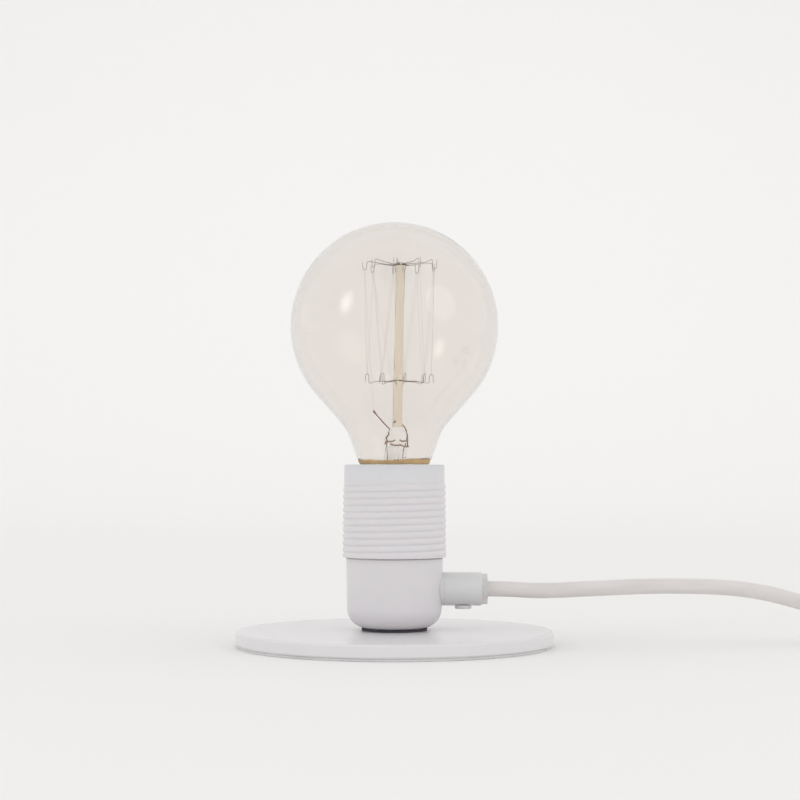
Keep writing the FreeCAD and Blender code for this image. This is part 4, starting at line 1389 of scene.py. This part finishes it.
class LAMP_OT_lead_cord(bpy.types.Operator):
    """Make the cord from the lampholder to the hand switch"""

    bl_idname = "lamp.lead_cord"
    bl_label = "Cord to the switch"

    def execute(self, context):
        diameter = context.scene.lamp_sizes.cord_diameter
        piece, line = cord_piece("lead_cord", LEAD_ROUTE, 24, diameter, ["cord_lead"])
        return {"FINISHED"}


class LAMP_OT_stored_cord(bpy.types.Operator):
    """Make the rest of the cord, wound in a coil and tied, and the cord's tie"""

    bl_idname = "lamp.stored_cord"
    bl_label = "Coiled cord and tie"

    def execute(self, context):
        diameter = context.scene.lamp_sizes.cord_diameter
        nodes = ["cord_to_coil", "cord_coil", "cord_to_plug"]
        piece, line = cord_piece("stored_cord", stored_route(), 12, diameter, nodes)
        tie = self.tie()
        return {"FINISHED"}

    def tie(self):
        """Woven strip wrapped round the turns, its end lapped over the top."""
        thick = 0.45
        bend = 2.7
        low_x = TIE_LOW.x + thick / 2
        high_x = TIE_HIGH.x - thick / 2
        low_z = TIE_LOW.z + thick / 2
        high_z = TIE_HIGH.z - thick
        lap_x = low_x + 12
        route = divided(rounded_profile([
            (low_x + 8, high_z, 0),
            (low_x, high_z, bend),
            (low_x, low_z, bend),
            (high_x, low_z, bend),
            (high_x, high_z, bend),
            (lap_x + 5, high_z + 0.02, 4.0),
            (lap_x, high_z + thick, 4.0),
            (lap_x - 9, high_z + thick, 0),
        ], False, 8), 1.2, False)
        vertices = []
        for index, point in enumerate(route):
            before = route[max(index - 1, 0)]
            after = route[min(index + 1, len(route) - 1)]
            way = (after - before).normalized()
            out = Vector((way.y, -way.x)) * (thick / 2)
            for corner in (point + out, point - out):
                for edge in (TIE_LOW.y, TIE_HIGH.y):
                    vertices.append((corner.x, edge, corner.y))
        faces = []
        last = 4 * (len(route) - 1)
        for here in range(0, last, 4):
            for a, b in ((0, 1), (1, 3), (3, 2), (2, 0)):
                faces.append((here + a, here + b, here + 4 + b, here + 4 + a))
        faces += [(0, 2, 3, 1), tuple(last + corner for corner in (0, 1, 3, 2))]
        return mesh_piece("cord_tie", vertices, faces, woven_tie, "root", ["coil_tie"])


class LAMP_OT_hand_switch(bpy.types.Operator):
    """Finish the inline switch"""

    bl_idname = "lamp.hand_switch"
    bl_label = "Hand switch"

    def execute(self, context):
        dress(moulded_switch_plastic, "switch_lower_shell", "switch_upper_shell", "switch_rocker")
        dress(stamped_brass, "switch_contacts", "switch_terminals")
        dress(zinc_plated_steel, "switch_terminal_screws", "switch_screws")
        dress(braided_textile, "switch_cord_ends")
        dress(core_insulation, "switch_neutral_core")
        return {"FINISHED"}


class LAMP_OT_plug(bpy.types.Operator):
    """Finish the plug and make its ribbed strain relief"""

    bl_idname = "lamp.plug"
    bl_label = "Plug"

    def execute(self, context):
        dress(moulded_plug_plastic, "plug_body")
        dress(plated_pin, "plug_pins")
        dress(pin_sleeve_plastic, "plug_pin_sleeves")
        dress(braided_textile, "cord_in_plug")
        self.strain_relief()
        return {"FINISHED"}

    def strain_relief(self):
        """Tapered sleeve cut into ribs, the shape that lets a real strain relief bend with the cord."""
        length = 24.0
        wide = 6.0
        narrow = 3.9
        bore = 3.0
        rib_pitch = 3.0
        cut_width = 1.0
        cut_depth = 0.9
        outline = [(bore, 0, 0), (wide, 0, 0.2)]
        ribs = int(length / rib_pitch)
        for rib in range(1, ribs):
            height = rib * rib_pitch
            outer = wide + (narrow - wide) * height / length
            outline += [
                (outer, height, 0.2), (outer - cut_depth, height, 0.2),
                (outer - cut_depth, height + cut_width, 0.2), (outer, height + cut_width, 0.2),
            ]
        outline += [(narrow, length, 0.3), (bore, length, 0)]
        lie = Matrix.Rotation(PLUG_TURN, 4, "Z") @ Matrix.Rotation(math.pi / 2, 4, "Y")
        back = Matrix.Translation(Vector((0, 0, -length)) * MM)
        turned_piece(
            "strain_relief", divided(rounded_profile(outline, True, 4), 1.5), 56, moulded_plug_plastic,
            "root", ["plug_relief"],
            place=Matrix.Translation(Vector(PLUG_ROUTE[-1]) * MM) @ lie @ back,
        )


# ---------------------------------------------------------------- stage


# Places and sizes of the lights are in metres, powers in watts and spreads in degrees.
LAMP_MIDDLE = Vector((0, 0, 0.08))
WALL_MIDDLE = Vector((0, 2.3, 0.5))
WALL_SPREAD = 90
ALL_ROUND = 180
# The key is a stack of ovals, each a share of its size, so that its reflection has a soft edge.
KEY_PLACE = Vector((-1.25, -0.83, 0.68))
KEY_SIZE = (0.44, 0.64)
KEY_RINGS = (0.4, 0.6, 0.8, 1.0, 1.2)
KEY_GAP = 0.01
KEY_POWER = 0.32
FILL_PLACE = Vector((1.7, -1.2, 0.9))
FILL_SIZE = (1.4, 1.4)
FILL_POWER = 2.5
WASH_PLACE = Vector((0, 0.9, 2.3))
WASH_SIZE = (2.4, 1.2)
WASH_POWER = 1.4
SURROUND_STRENGTH = 0.98
# A ray through globe, flare and exhaust tube crosses 12 glass faces, and more where it is
# reflected between them, which is past the usual limit.
GLASS_BOUNCES = 32


class LAMP_OT_stage(bpy.types.Operator):
    """Make the pale floor and backdrop, the soft studio light and the camera"""

    bl_idname = "lamp.stage"
    bl_label = "Stage, light and camera"

    def execute(self, context):
        self.backdrop()
        self.light(context.scene)
        self.camera(context.scene)
        return {"FINISHED"}

    def backdrop(self):
        """A sheet that lies as the floor and sweeps up behind the lamp."""
        front = -3000.0
        back = 2400.0
        sweep = 900.0
        height = 3200.0
        half_width = 3200.0
        section = rounded_profile([(front, 0, 0), (back, 0, sweep), (back, height, 0)], False, 24)
        vertices = [(x, y, z) for x in (-half_width, half_width) for y, z in section]
        faces = grid_faces(2, len(section), False, False)
        data = bpy.data.meshes.new("backdrop")
        data.from_pydata([Vector(point) * MM for point in vertices], [], faces)
        data.shade_smooth()
        data.materials.append(finish(studio_paper))
        piece = bpy.data.objects.new("backdrop", data)
        bpy.context.scene.collection.objects.link(piece)

    def light(self, scene):
        """High-key light: an even surround, a soft key from the left, a fill, and a wash on the wall."""
        scene.view_settings.view_transform = "Standard"
        world = bpy.data.worlds.new("surround")
        world.use_nodes = True
        surround = world.node_tree.nodes["Background"]
        surround.inputs["Color"].default_value = rgba("#FEFEFF")
        surround.inputs["Strength"].default_value = SURROUND_STRENGTH
        scene.world = world
        scene.cycles.max_bounces = GLASS_BOUNCES
        scene.cycles.transmission_bounces = GLASS_BOUNCES
        key_way = (LAMP_MIDDLE - KEY_PLACE).normalized()
        for ring, share in enumerate(KEY_RINGS):
            size = [side * share for side in KEY_SIZE]
            place = KEY_PLACE - key_way * (KEY_GAP * ring)
            self.area_light(f"key_{ring}", place, LAMP_MIDDLE, size, KEY_POWER * share ** 2, ALL_ROUND)
        self.area_light("fill", FILL_PLACE, LAMP_MIDDLE, FILL_SIZE, FILL_POWER, ALL_ROUND)
        wash = self.area_light("wall_wash", WASH_PLACE, WALL_MIDDLE, WASH_SIZE, WASH_POWER, WALL_SPREAD)
        wash.visible_glossy = False
        wash.visible_transmission = False

    def area_light(self, name, place, target, size, power, spread):
        """An oval soft box at a place, turned to a target; power in watts, spread in degrees."""
        data = bpy.data.lights.new(name, "AREA")
        data.shape = "ELLIPSE"
        data.size, data.size_y = size
        data.energy = power
        data.spread = math.radians(spread)
        lamp = bpy.data.objects.new(name, data)
        lamp.location = place
        lamp.rotation_euler = (target - place).to_track_quat("-Z", "Y").to_euler()
        lamp.visible_camera = False
        bpy.context.scene.collection.objects.link(lamp)
        return lamp

    def camera(self, scene):
        """The photograph's view: a long lens a little above the holder, tilted up by two degrees."""
        place = (2.1, -720.0, 68.0)
        tilt = 2.0
        data = bpy.data.cameras.new("camera")
        data.lens = 85.3
        data.sensor_width = 36.0
        eye = bpy.data.objects.new("camera", data)
        eye.location = Vector(place) * MM
        eye.rotation_euler = (math.radians(90 + tilt), 0, 0)
        scene.collection.objects.link(eye)
        scene.camera = eye


# ---------------------------------------------------------------- the add-on


OPERATORS = (
    LAMP_OT_base,
    LAMP_OT_lampholder,
    LAMP_OT_inlet,
    LAMP_OT_bulb_glass,
    LAMP_OT_bulb_cap,
    LAMP_OT_glass_stem,
    LAMP_OT_filament_mount,
    LAMP_OT_hand_switch,
    LAMP_OT_plug,
    LAMP_OT_lead_cord,
    LAMP_OT_stored_cord,
    LAMP_OT_stage,
)


class LAMP_PT_pieces(bpy.types.Panel):
    """Lists the lamp's pieces, sizes and colours"""

    bl_idname = "LAMP_PT_pieces"
    bl_label = "Bare bulb table lamp"
    bl_space_type = "VIEW_3D"
    bl_region_type = "UI"
    bl_category = "Lamp"

    def draw(self, context):
        layout = self.layout
        for group in (context.scene.lamp_sizes, context.scene.lamp_colours):
            column = layout.column()
            for name in group.__annotations__:
                column.prop(group, name)
        buttons = layout.column(align=True)
        for operator in OPERATORS:
            buttons.operator(operator.bl_idname)


CLASSES = (LampSizes, LampColours, *OPERATORS, LAMP_PT_pieces)


def register():
    for kind in CLASSES:
        bpy.utils.register_class(kind)
    bpy.types.Scene.lamp_sizes = bpy.props.PointerProperty(type=LampSizes)
    bpy.types.Scene.lamp_colours = bpy.props.PointerProperty(type=LampColours)


def unregister():
    del bpy.types.Scene.lamp_colours
    del bpy.types.Scene.lamp_sizes
    for kind in reversed(CLASSES):
        bpy.utils.unregister_class(kind)


def main():
    register()
    bpy.ops.lamp.base()
    bpy.ops.lamp.lampholder()
    bpy.ops.lamp.inlet()
    bpy.ops.lamp.bulb_glass()
    bpy.ops.lamp.bulb_cap()
    bpy.ops.lamp.glass_stem()
    bpy.ops.lamp.filament_mount()
    bpy.ops.lamp.hand_switch()
    bpy.ops.lamp.plug()
    bpy.ops.lamp.lead_cord()
    bpy.ops.lamp.stored_cord()
    bpy.ops.lamp.stage()


if __name__ == "__main__":
    main()
